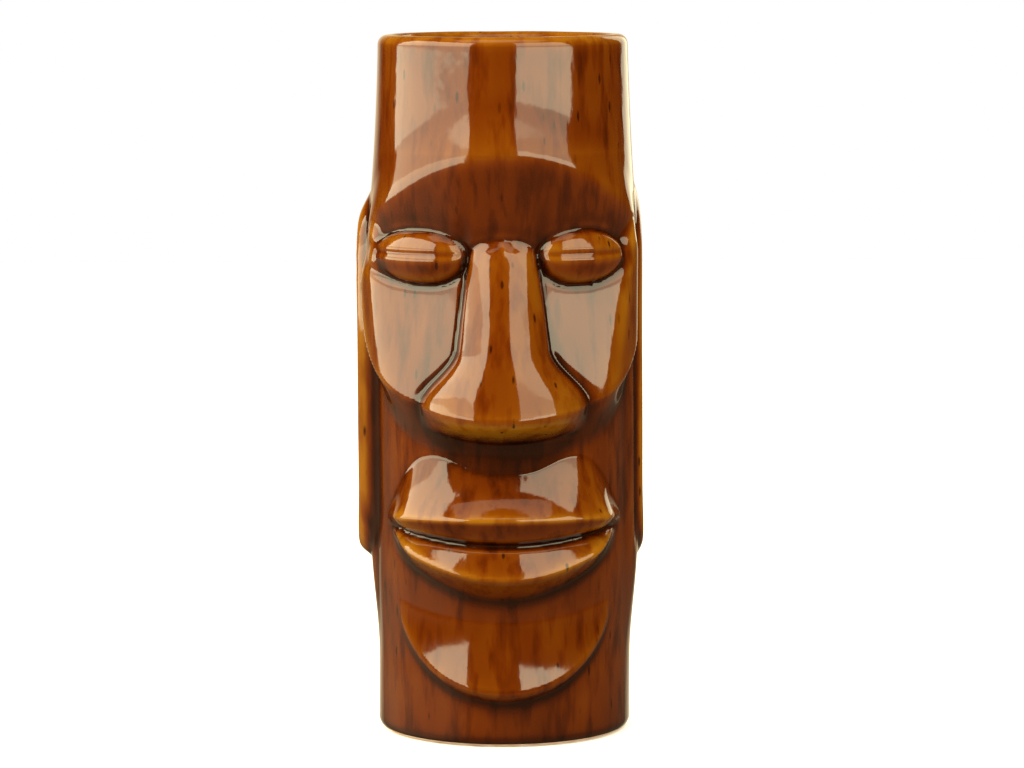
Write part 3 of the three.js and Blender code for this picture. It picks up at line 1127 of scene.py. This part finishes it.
@dataclass
class Mould:
    """The mug's outside and inside as radii, and the turning of a section round its axis."""

    axis: Vector
    height: float
    wall: float = 5.0
    coat: float = 0.6
    floor_top: float = 8.1
    floor_corner: float = 7.0
    foot_recess: float = 2.2
    foot_ring_outer: float = 29.6
    foot_ring_inner: float = 24.6
    glaze_line: float = 0.9
    coat_inside: float = 3.0
    back_gap: float = 2.2
    back_depth: float = 3.9
    cast_rows: int = 240
    cast_reach: int = 5
    cast_blur: int = 3
    even_from: float = 14.0
    even_to: float = 2.0
    columns: int = 264
    front_density: float = 0.45
    head: Head = field(init=False)

    def __post_init__(self) -> None:
        """Gives the head the mug's height."""
        self.head = Head(height=self.height)

    @property
    def lip_centre(self) -> float:
        """Height of the centre of the rounded lip, whose radius is half the wall."""
        return self.height - self.wall / 2.0

    @property
    def coat_end(self) -> float:
        """Height inside the mug at which the outside coat ends and the liner starts."""
        return self.lip_centre - self.coat_inside

    def angles(self, count: int) -> Array:
        """Angles round the mug as a column, closer together at the face: t - d sin t."""
        t = 2.0 * math.pi * np.arange(count)[:, None] / count - math.pi
        return t - self.front_density * np.sin(t)

    def column_radius(self, z: Array) -> Array:
        """Radius of the plain column."""
        return self.head.column.radius(z, self.height)

    def inner_radius(self, angle: Array, z: Array) -> Array:
        """Radius of the inside: one wall behind the shrunk and blurred outside, as slip builds up in a mould.

        The outside is sampled on even rows, each place takes the least radius of its neighbourhood, the
        result is blurred, and the asked heights are read between the rows.

        Args:
            angle: angles from the face's middle line, as a column.
            z: heights above the foot, as a row.

        Returns:
            The radius at each place.
        """
        rows = np.linspace(self.head.column.foot_edge, self.height, self.cast_rows)
        low = self.head.radius(angle, rows[None, :])
        for _ in range(self.cast_reach):
            low = np.minimum(low, np.minimum(np.roll(low, 1, 0), np.roll(low, -1, 0)))
            padded = np.pad(low, [(0, 0), (1, 1)], mode="edge")
            low = np.minimum(low, np.minimum(padded[:, :-2], padded[:, 2:]))
        soft = blur(low, self.cast_blur, self.cast_blur)
        # The reading stops just short of the last row, so that there is always a row above it.
        at = np.clip((z - rows[0]) / (rows[1] - rows[0]), 0.0, self.cast_rows - 1.001)
        first = np.floor(at).astype(int).ravel()
        share = (at - np.floor(at)).reshape(1, -1)
        soft = soft[:, first] * (1.0 - share) + soft[:, first + 1] * share
        mix = smooth(self.lip_centre - self.even_from, self.lip_centre - self.even_to, z)
        soft = soft * (1.0 - mix) + self.column_radius(z) * mix
        lift = np.clip(self.floor_top + self.floor_corner - z, 0.0, self.floor_corner)
        corner = self.floor_corner - np.sqrt(self.floor_corner**2 - lift**2)
        return soft - self.wall - corner

    def back_radius(self, angle: Array, z: Array) -> Array:
        """Radius of the outside coat's hidden back: clear of the liner, and well behind the column."""
        inner = self.inner_radius(angle, z) + self.back_gap
        return np.minimum(inner, self.column_radius(z) - self.back_depth)

    def turned(
        self,
        name: str,
        sections: Array,
        angle: Array,
        poles: tuple[float, float] | None = None,
        inward: bool = False,
    ) -> bpy.types.Object:
        """Turns a stack of sections round the axis into a piece.

        Args:
            name: the piece's name.
            sections: (columns, rows, 2) radii and heights along the section.
            angle: the columns' angles.
            poles: heights on the axis that close the first and the last row; without them the section
                closes on itself.
            inward: whether the section runs clockwise, so that its faces have to be turned over.

        Returns:
            The piece.
        """
        columns, rows = sections.shape[:2]
        points = place(sections[..., 0], sections[..., 1], angle, self.axis).reshape(-1, 3)
        quads = quads_of(columns, rows, poles is None)
        rings: list[Array] = []
        if poles is not None:
            on_axis = place(np.zeros(2), np.array(poles), np.zeros(2), self.axis)
            points = np.concatenate([points, on_axis])
            first = np.arange(columns) * rows
            rings = [first[::-1], first + rows - 1]
        if inward:
            quads = quads[:, ::-1]
            rings = [ring[::-1] for ring in rings]
        fans = [np.append(ring, columns * rows + number) for number, ring in enumerate(rings)]
        return mesh_piece(name, points, quads, fans)


@dataclass
class Layer:
    """One separately made layer of the mug."""

    mould: Mould

    def build(self) -> bpy.types.Object:
        """Makes the layer's mesh, which each kind of layer does in its own way."""
        raise NotImplementedError

    def dress(self, piece: bpy.types.Object, finish: bpy.types.Material, node: str, slot: str) -> None:
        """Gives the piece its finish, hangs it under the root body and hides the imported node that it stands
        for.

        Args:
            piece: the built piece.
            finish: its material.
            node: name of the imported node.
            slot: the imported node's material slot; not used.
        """
        piece.data.materials.append(finish)
        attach(piece, "root")
        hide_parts(node)


@dataclass
class OutsideCoat(Layer):
    """The outside glaze: up the face, over the round lip, a short way inside, and a plain back.

    The sizes of pooled glaze and of painted shade are on the scale of the coat's depth: 0 on a bare edge, 1
    in a pool.
    """

    face_low: float = 11.0
    face_high: float = 150.0
    foot_top: float = 3.2
    band_rows: tuple[int, int, int, int] = (8, 10, 246, 18)
    lip_rows: int = 25
    inside_start: float = 0.4
    inside_rows: int = 5
    back_low: float = 4.0
    back_rows: int = 48
    end_radius: float = 27.0
    # Share, reach round and reach up of each blur: the two narrow ones gather glaze in cuts, and the broadest
    # darkens wide hollows beside tall features such as the nose, as painted shade.
    pooling_and_shade_breadths: tuple[tuple[float, int, int], ...] = ((0.72, 2, 1), (0.12, 5, 4), (0.045, 9, 9))
    lean_blur: int = 2
    # Depth by lean dr/dz: walls that lean out a little over what is below them are made deeper, as painted
    # shade under overhangs such as the brow, and walls that lean back a little lighter; past the fade, steep
    # undersides are made lighter.
    lean_shade_share: float = 0.24
    lean_shade_full: float = 0.2
    lean_shade_least: float = -0.2
    lean_shade_fade_from: float = 0.35
    lean_shade_fade_to: float = 0.9
    underside_lightening: float = 0.2
    underside_lightening_full: float = 1.4
    rim_thin: float = 0.3
    rim_width: float = 2.5
    foot_pool: float = 0.12
    foot_pool_top: float = 12.0
    foot_pool_full: float = 1.0
    lip_thin: float = 0.42
    lip_power: float = 0.8

    def heights(self) -> Array:
        """Heights of the outside rows: half a millimetre on the face, wider on the plain bands.

        Returns:
            The heights, as a row.
        """
        top = self.mould.lip_centre
        edges = [self.mould.glaze_line, self.foot_top, self.face_low, self.face_high, top]
        bands = zip(edges[:-1], edges[1:], self.band_rows)
        parts = [np.linspace(low, high, count, endpoint=False) for low, high, count in bands]
        return np.concatenate([*parts, [top]])[None, :]

    def build(self) -> bpy.types.Object:
        """Turns the section and paints the coat's depth on it.

        Returns:
            The coat.
        """
        mould = self.mould
        angle = mould.angles(mould.columns)
        z = self.heights()
        radius = mould.head.radius(angle, z)
        outer_lip = radius[:, -1:]
        inner_lip = mould.inner_radius(angle, np.array([[mould.lip_centre]]))
        turn = np.linspace(0.0, math.pi, self.lip_rows + 1)[None, 1:]
        half = 0.5 * (outer_lip - inner_lip)
        lip_radius = 0.5 * (outer_lip + inner_lip) + half * np.cos(turn)
        lip = section(lip_radius, mould.lip_centre + half * np.sin(turn))
        down = np.linspace(self.inside_start, mould.coat_inside, self.inside_rows)[None, :]
        inside = section(inner_lip, mould.lip_centre - down)
        back_z = np.linspace(mould.coat_end, self.back_low, self.back_rows)[None, :]
        back = section(mould.back_radius(angle, back_z), back_z)
        end = np.broadcast_to([self.end_radius, mould.glaze_line], (mould.columns, 1, 2))
        sections = np.concatenate([section(radius, z), lip, inside, back, end], axis=1)
        piece = mould.turned("glaze_outside", sections, angle)
        depth = np.full(sections.shape[:2], PLAIN_DEPTH)
        face_rows = radius.shape[1]
        depth[:, :face_rows] = self.pooling_and_shade(radius, angle, z)
        over_lip = PLAIN_DEPTH - self.lip_thin * np.sin(turn) ** self.lip_power
        last = depth[:, face_rows - 1 : face_rows]
        over_lip = over_lip + (last - PLAIN_DEPTH) * (1.0 - np.sin(turn))
        depth[:, face_rows : face_rows + self.lip_rows] = over_lip
        paint_pooling_and_shade(piece, depth)
        return piece

    def pooling_and_shade(self, radius: Array, angle: Array, z: Array) -> Array:
        """How deep the coat lies: less on edges, more in cuts and near the foot.

        It is the blurred outside less the outside itself, at three breadths: a glaze levels out, so it is
        thick where the clay lies below its surroundings and thin where it stands above them, and the broadest
        breadth is painted shade in wide hollows beside tall features. A wall that leans out a little over
        what is below it gains a share for its slope dr/dz, as painted shade under an overhang; a steep
        underside is made lighter. The bowl under the nose gets painted shade of its own.

        Args:
            radius: radius of the outside.
            angle: the columns' angles.
            z: the rows' heights.

        Returns:
            The depth at each place, from 0 to 1.
        """
        lean = np.gradient(box_blur(radius, self.lean_blur, 1, False), z[0], axis=1)
        lean_shade_kept = 1.0 - smooth(self.lean_shade_fade_from, self.lean_shade_fade_to, lean)
        # Painted shade on walls that lean out a little; steep undersides are lightened.
        depth = PLAIN_DEPTH + self.lean_shade_share * np.clip(lean / self.lean_shade_full, self.lean_shade_least, 1.0) * lean_shade_kept
        depth = depth - self.underside_lightening * smooth(self.lean_shade_fade_to, self.underside_lightening_full, lean)
        # The narrow breadths are glaze gathered in cuts; the broadest is painted shade in wide hollows.
        for share, around, up in self.pooling_and_shade_breadths:
            depth = depth + share * (blur(radius, around, up) - radius)
        # Painted shade in the bowl under the nose.
        depth = depth + self.mould.head.under_nose_painted_shade(angle, z)
        depth = depth - self.rim_thin * bell(z - self.mould.height, self.rim_width)
        depth = depth + self.foot_pool * smooth(self.foot_pool_top, self.foot_pool_full, z)
        return np.clip(depth, 0.0, 1.0)


@dataclass
class Liner(Layer):
    """The inside glaze: floor, rounded corner and wall up to the outside coat's end."""

    corner_rows: int = 12
    wall_rows: int = 109
    floor_rows: int = 14
    floor_start: float = 0.02
    corner_drop: float = 0.4
    wall_depth: float = 0.58
    floor_depth: float = 0.66
    back_depth: float = 0.55
    fine_share: float = 0.5
    low_pool: float = 0.12
    low_pool_top: float = 30.0
    low_pool_full: float = 8.0

    def build(self) -> bpy.types.Object:
        """Turns the section, floor and wall out and back again one coat behind, and paints its depth.

        Returns:
            The liner.
        """
        mould = self.mould
        angle = mould.angles(mould.columns // 2)
        turn = np.linspace(0.0, math.pi / 2, self.corner_rows)
        bend = mould.floor_top + mould.floor_corner * (1.0 - np.cos(turn))
        straight = np.linspace(mould.floor_top + mould.floor_corner, mould.coat_end, self.wall_rows + 1)
        z = np.concatenate([bend, straight[1:]])[None, :]
        radius = mould.inner_radius(angle, z)
        reach = np.linspace(self.floor_start, 1.0, self.floor_rows, endpoint=False)[None, :]
        floor = section(reach * radius[:, :1], mould.floor_top)
        wall = section(radius, z)
        back = wall[:, ::-1] + np.array([mould.coat, 0.0])
        back[:, -1, 1] -= self.corner_drop
        low = floor[:, ::-1] - np.array([0.0, mould.coat])
        sections = np.concatenate([floor, wall, back, low], axis=1)
        poles = (mould.floor_top, mould.floor_top - mould.coat)
        piece = mould.turned("glaze_inside", sections, angle, poles, inward=True)
        depth = np.full(sections.shape[:2], self.back_depth)
        fine = blur(radius, mould.cast_blur, mould.cast_blur) - radius
        low_pool = self.low_pool * smooth(self.low_pool_top, self.low_pool_full, z)
        on_wall = np.clip(self.wall_depth - self.fine_share * fine + low_pool, 0.0, 1.0)
        depth[:, self.floor_rows : self.floor_rows + z.size] = on_wall
        depth[:, : self.floor_rows] = self.floor_depth
        paint_pooling_and_shade(piece, depth)
        return piece


@dataclass
class Casting(Layer):
    """The bare clay: foot ring, recessed underside and the core of the wall between the coats.

    The two slopes are (distance out from the ring's edge, height) from the recess to the foot's side.
    """

    recess_radii: tuple[float, ...] = (2.0, 10.0, 18.0)
    ring_inside: tuple[tuple[float, float], ...] = (
        (-1.6, 2.2),
        (-0.9, 1.85),
        (-0.45, 0.75),
        (-0.15, 0.2),
        (0.25, 0.0),
        (1.5, 0.0),
    )
    ring_outside: tuple[tuple[float, float], ...] = ((-1.5, 0.0), (-0.3, 0.0))
    side_rows: int = 5
    glaze_clear: float = 0.02
    step_radius: float = 27.2
    wall_rows: int = 48
    wall_low: float = 4.4
    coat_clear: float = 0.3
    liner_clear: float = 0.2
    corner_clear: float = 1.0
    core_radii: tuple[float, ...] = (20.0, 10.0, 2.0)

    def underside(self) -> Array:
        """The outline from the middle of the recess over the foot ring to the glaze line.

        Returns:
            (n, 2) radii and heights.
        """
        mould = self.mould
        side_top = mould.glaze_line - self.glaze_clear
        side_z = np.linspace(0.0, side_top, self.side_rows)[1:]
        outline = [(radius, mould.foot_recess) for radius in self.recess_radii]
        outline += [(mould.foot_ring_inner + out, up) for out, up in self.ring_inside]
        outline += [(mould.foot_ring_outer + out, up) for out, up in self.ring_outside]
        outline += list(zip(mould.column_radius(side_z).tolist(), side_z.tolist()))
        return np.array([*outline, (self.step_radius, side_top)])

    def build(self) -> bpy.types.Object:
        """Turns the section: underside, wall up behind the outside coat, wall down behind the liner, core.

        Returns:
            The casting.
        """
        mould = self.mould
        angle = mould.angles(mould.columns // 2)
        outline = self.underside()
        under = np.broadcast_to(outline, (len(angle), *outline.shape))
        top = mould.coat_end - self.coat_clear
        up = np.linspace(self.wall_low, top, self.wall_rows)[None, :]
        rise = section(mould.back_radius(angle, up) - self.coat_clear, up)
        corner = mould.floor_top + mould.floor_corner + self.corner_clear
        down = np.linspace(top, corner, self.wall_rows)[None, :]
        fall = section(mould.inner_radius(angle, down) + mould.coat + self.liner_clear, down)
        core_z = mould.floor_top - mould.coat - self.liner_clear
        core = section(np.array(self.core_radii), core_z)
        inside = np.broadcast_to(core, (len(angle), *core.shape))
        sections = np.concatenate([under, rise, fall, inside], axis=1)
        return mould.turned("clay_casting", sections, angle, (mould.foot_recess, core_z))


@dataclass
class FootPatch(Layer):
    """The glaze in the recess: a thin pool with a soft, slightly uneven rim."""

    columns: int = 120
    inset: float = 2.4
    rim_round: float = 0.5
    rim_rows: int = 14
    middle_drop: float = 0.32
    half_thickness: float = 0.27
    flat_rows: int = 12
    flat_start: float = 0.04
    uneven: tuple[Wave, ...] = (Wave(0.35, 5.0, 0.0, 1.0), Wave(0.25, 11.0, 0.0, 0.0))
    depth: float = 0.62

    def build(self) -> bpy.types.Object:
        """Turns the section: underside out to the rim, round it, and back over the top.

        Returns:
            The patch.
        """
        mould = self.mould
        angle = mould.angles(self.columns)
        middle = mould.foot_recess - self.middle_drop
        turn = np.linspace(0.0, math.pi, self.rim_rows)[None, :]
        rim = mould.foot_ring_inner - self.inset - self.rim_round
        rim_radius = rim + sum(wave.at(angle, 0.0) for wave in self.uneven) + self.rim_round * np.sin(turn)
        edge = section(rim_radius, middle - self.half_thickness * np.cos(turn))
        flat = np.linspace(self.flat_start, 1.0, self.flat_rows, endpoint=False)[None, :]
        poles = (middle - self.half_thickness, middle + self.half_thickness)
        low = section(flat * rim_radius[:, :1], poles[0])
        high = section(flat[:, ::-1] * rim_radius[:, -1:], poles[1])
        sections = np.concatenate([low, edge, high], axis=1)
        piece = mould.turned("glaze_under_foot", sections, angle, poles)
        paint_pooling_and_shade(piece, np.full(sections.shape[:2], self.depth))
        return piece


@dataclass
class Mug:
    """The whole mug: one casting and its three coats."""

    mould: Mould

    def build(self) -> list[bpy.types.Object]:
        """Builds and dresses every layer.

        Returns:
            The pieces, from the outside in.
        """
        glaze = TreacleGlaze().make()
        clay = Earthenware().make()
        plan: list[tuple[Layer, bpy.types.Material, str, str]] = [
            (OutsideCoat(self.mould), glaze, "outer_glaze", "brown_glaze"),
            (Liner(self.mould), glaze, "liner_glaze", "liner_glaze"),
            (Casting(self.mould), clay, "clay_body", "earthenware"),
            (FootPatch(self.mould), glaze, "base_glaze", "base_glaze"),
        ]
        made: list[bpy.types.Object] = []
        for layer, finish, node, slot in plan:
            piece = layer.build()
            layer.dress(piece, finish, node, slot)
            made.append(piece)
        return made


# --------------------------------------------------------------------------- studio


class Side(Enum):
    """Where a light panel stands: degrees from the camera's direction, positive to the right."""

    LEFT = -70.0
    RIGHT = 38.0
    ABOVE = -5.0
    BEHIND = 150.0


@dataclass(frozen=True)
class Panel:
    """One rectangular softbox.

    Attributes:
        side: where it stands.
        distance: metres from the mug's axis to the panel's middle, over the floor.
        height: metres from the floor to the panel's middle.
        width: metres across.
        tall: metres up.
        radiance: how bright it is to look at.
        mirrored: whether glossy surfaces show it.
        tint: its colour.
    """

    side: Side
    distance: float
    height: float
    width: float
    tall: float
    radiance: float
    mirrored: bool = True
    tint: str = "#fff8d2"

    def make(self, target: Vector) -> None:
        """Places the panel so that it faces the target and can't be seen by the camera.

        Args:
            target: what the panel lights; an upright panel faces its own height over it.
        """
        turn = math.radians(self.side.value)
        where = Vector((self.distance * math.sin(turn), -self.distance * math.cos(turn), 0.0))
        where += Vector((target.x, target.y, self.height))
        lamp = bpy.data.lights.new("softbox_" + self.side.name.lower(), "AREA")
        lamp.shape = "RECTANGLE"
        lamp.size = self.width
        lamp.size_y = self.tall
        lamp.energy = self.radiance * math.pi * self.width * self.tall
        lamp.color = linear(self.tint)[:3]
        thing = bpy.data.objects.new(lamp.name, lamp)
        thing.location = where
        look = target if self.side is Side.ABOVE else Vector((target.x, target.y, where.z))
        thing.rotation_euler = (look - where).to_track_quat("-Z", "Y").to_euler()
        thing.visible_camera = False
        thing.visible_glossy = self.mirrored
        bpy.context.scene.collection.objects.link(thing)


@dataclass(frozen=True)
class Surround:
    """White to the camera; dim to reflections, except low behind the mug and over the lit floor to the left.

    The spans turn a part of the looking direction into a brightness.
    """

    behind: Span = (0.8, 0.95, 0.0, 1.0)
    level: Span = (0.55, 0.1, 0.0, 1.0)
    below: Span = (-0.03, -0.19, 0.0, 0.15)
    lit_side: Span = (-0.5, -0.85, 1.0, 3.6)
    sky: Span = (-0.1, 0.05, 1.0, 1.1)
    least: float = 0.03
    white: str = "#ffffff"
    warm: str = "#ffe6b8"

    def make(self) -> None:
        """Builds the world."""
        world = bpy.data.worlds.new("surround")
        bpy.context.scene.world = world
        world.use_nodes = True
        tree = world.node_tree
        tree.nodes.clear()
        path = add_node(tree, "ShaderNodeLightPath")
        where = add_node(tree, "ShaderNodeTexCoord")
        axes = add_node(tree, "ShaderNodeSeparateXYZ", inputs={"Vector": where.outputs["Generated"]})
        bright: dict[str, bpy.types.NodeSocket | float] = {
            "least": self.least,
            "diffuse": path.outputs["Is Diffuse Ray"],
            "camera": path.outputs["Is Camera Ray"],
        }
        parts = [
            ("behind", "Y", self.behind),
            ("level", "Z", self.level),
            ("below", "Z", self.below),
            ("lit_side", "X", self.lit_side),
            ("sky", "Z", self.sky),
        ]
        for part, along, span in parts:
            inputs = {"Value": axes.outputs[along], **limits(span)}
            bright[part] = add_node(tree, "ShaderNodeMapRange", inputs=inputs).outputs[0]
        steps = [
            ("backdrop", "MULTIPLY", "behind", "level"),
            ("lit_floor", "MULTIPLY", "below", "lit_side"),
            ("dim", "ADD", "lit_floor", "least"),
            ("mirrored", "MAXIMUM", "backdrop", "dim"),
            ("fill", "MULTIPLY", "sky", "diffuse"),
            ("plain", "MAXIMUM", "fill", "camera"),
            ("all", "MAXIMUM", "mirrored", "plain"),
        ]
        for result, operation, first, second in steps:
            inputs = {0: bright[first], 1: bright[second]}
            step = add_node(tree, "ShaderNodeMath", {"operation": operation}, inputs)
            bright[result] = step.outputs[0]
        tint = add_node(
            tree,
            "ShaderNodeMix",
            {"data_type": "RGBA"},
            {0: path.outputs["Is Glossy Ray"], 6: linear(self.white), 7: linear(self.warm)},
        )
        light = add_node(
            tree, "ShaderNodeBackground", inputs={"Color": tint.outputs[2], "Strength": bright["all"]}
        )
        add_node(tree, "ShaderNodeOutputWorld", inputs={"Surface": light.outputs[0]})


@dataclass
class Studio:
    """Camera, softboxes, white surround and floor.

    Places and distances are metres and start from the mug's axis; the lens and its sensor are
    millimetres, and turns are degrees.
    """

    axis: Vector
    camera_distance: float = 1.06
    camera_height: float = 0.206
    pitch: float = 6.3
    roll: float = -0.2
    aim_side: float = 0.0022
    lens: float = 145.3
    sensor: float = 36.0
    farthest: float = 20.0
    lit_height: float = 0.09
    floor_size: float = 3.0
    panels: tuple[Panel, ...] = (
        Panel(Side.LEFT, distance=0.55, height=0.44, width=0.93, tall=0.76, radiance=3.9),
        Panel(Side.LEFT, distance=0.54, height=0.53, width=0.91, tall=0.50, radiance=2.8),
        Panel(Side.LEFT, distance=0.53, height=0.125, width=0.90, tall=0.13, radiance=2.5),
        Panel(Side.RIGHT, distance=0.62, height=0.495, width=0.60, tall=0.73, radiance=3.2),
        Panel(Side.RIGHT, distance=0.61, height=0.56, width=0.59, tall=0.52, radiance=1.5),
        Panel(Side.RIGHT, distance=0.60, height=0.17, width=0.58, tall=0.08, radiance=3.2),
        Panel(Side.ABOVE, distance=0.25, height=0.95, width=0.9, tall=0.7, radiance=2.3, mirrored=False),
        Panel(Side.ABOVE, distance=0.25, height=0.96, width=0.8, tall=0.5, radiance=1.5),
        Panel(Side.BEHIND, distance=0.8, height=0.4, width=0.35, tall=0.6, radiance=2.0),
    )

    def camera(self) -> None:
        """The camera stands level with a point just over the rim, and looks down a little."""
        data = bpy.data.cameras.new("camera")
        data.lens = self.lens
        data.sensor_width = self.sensor
        data.clip_end = self.farthest
        thing = bpy.data.objects.new("camera", data)
        where = self.axis + Vector((0.0, -self.camera_distance, self.camera_height))
        yaw = math.atan2(self.aim_side, self.camera_distance)
        turn = (
            Matrix.Rotation(-yaw, 4, "Z")
            @ Matrix.Rotation(math.radians(90.0 - self.pitch), 4, "X")
            @ Matrix.Rotation(math.radians(self.roll), 4, "Z")
        )
        thing.matrix_world = Matrix.Translation(where) @ turn
        bpy.context.scene.collection.objects.link(thing)
        bpy.context.scene.camera = thing

    def floor(self) -> None:
        """A plain white floor that reflections don't see, so that the mug's underside stays deep."""
        half = self.floor_size / 2.0
        corners = [(-half, -half, 0.0), (half, -half, 0.0), (half, half, 0.0), (-half, half, 0.0)]
        mesh = bpy.data.meshes.new("floor")
        mesh.from_pydata(corners, [], [(0, 1, 2, 3)])
        thing = bpy.data.objects.new("floor", mesh)
        thing.visible_glossy = False
        thing.visible_diffuse = False
        mesh.materials.append(PaleFloor().make())
        bpy.context.scene.collection.objects.link(thing)

    def build(self) -> None:
        """Sets up the camera, the lights, the surround and the floor."""
        self.camera()
        target = self.axis + Vector((0.0, 0.0, self.lit_height))
        for panel in self.panels:
            panel.make(target)
        Surround().make()
        self.floor()
        bpy.context.scene.view_settings.view_transform = "Standard"


def main() -> None:
    """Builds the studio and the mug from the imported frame, and reports each piece."""
    logging.basicConfig(level=logging.INFO)
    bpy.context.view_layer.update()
    low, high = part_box("base_glaze")
    axis = Vector((0.5 * (low[0] + high[0]), 0.5 * (low[1] + high[1]), 0.0))
    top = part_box("outer_glaze")[1][2]
    Studio(axis).build()
    for piece in Mug(Mould(axis=axis, height=top / MM)).build():
        LOG.info("%s: %d faces", piece.name, len(piece.data.polygons))


if __name__ == "__main__":
    main()
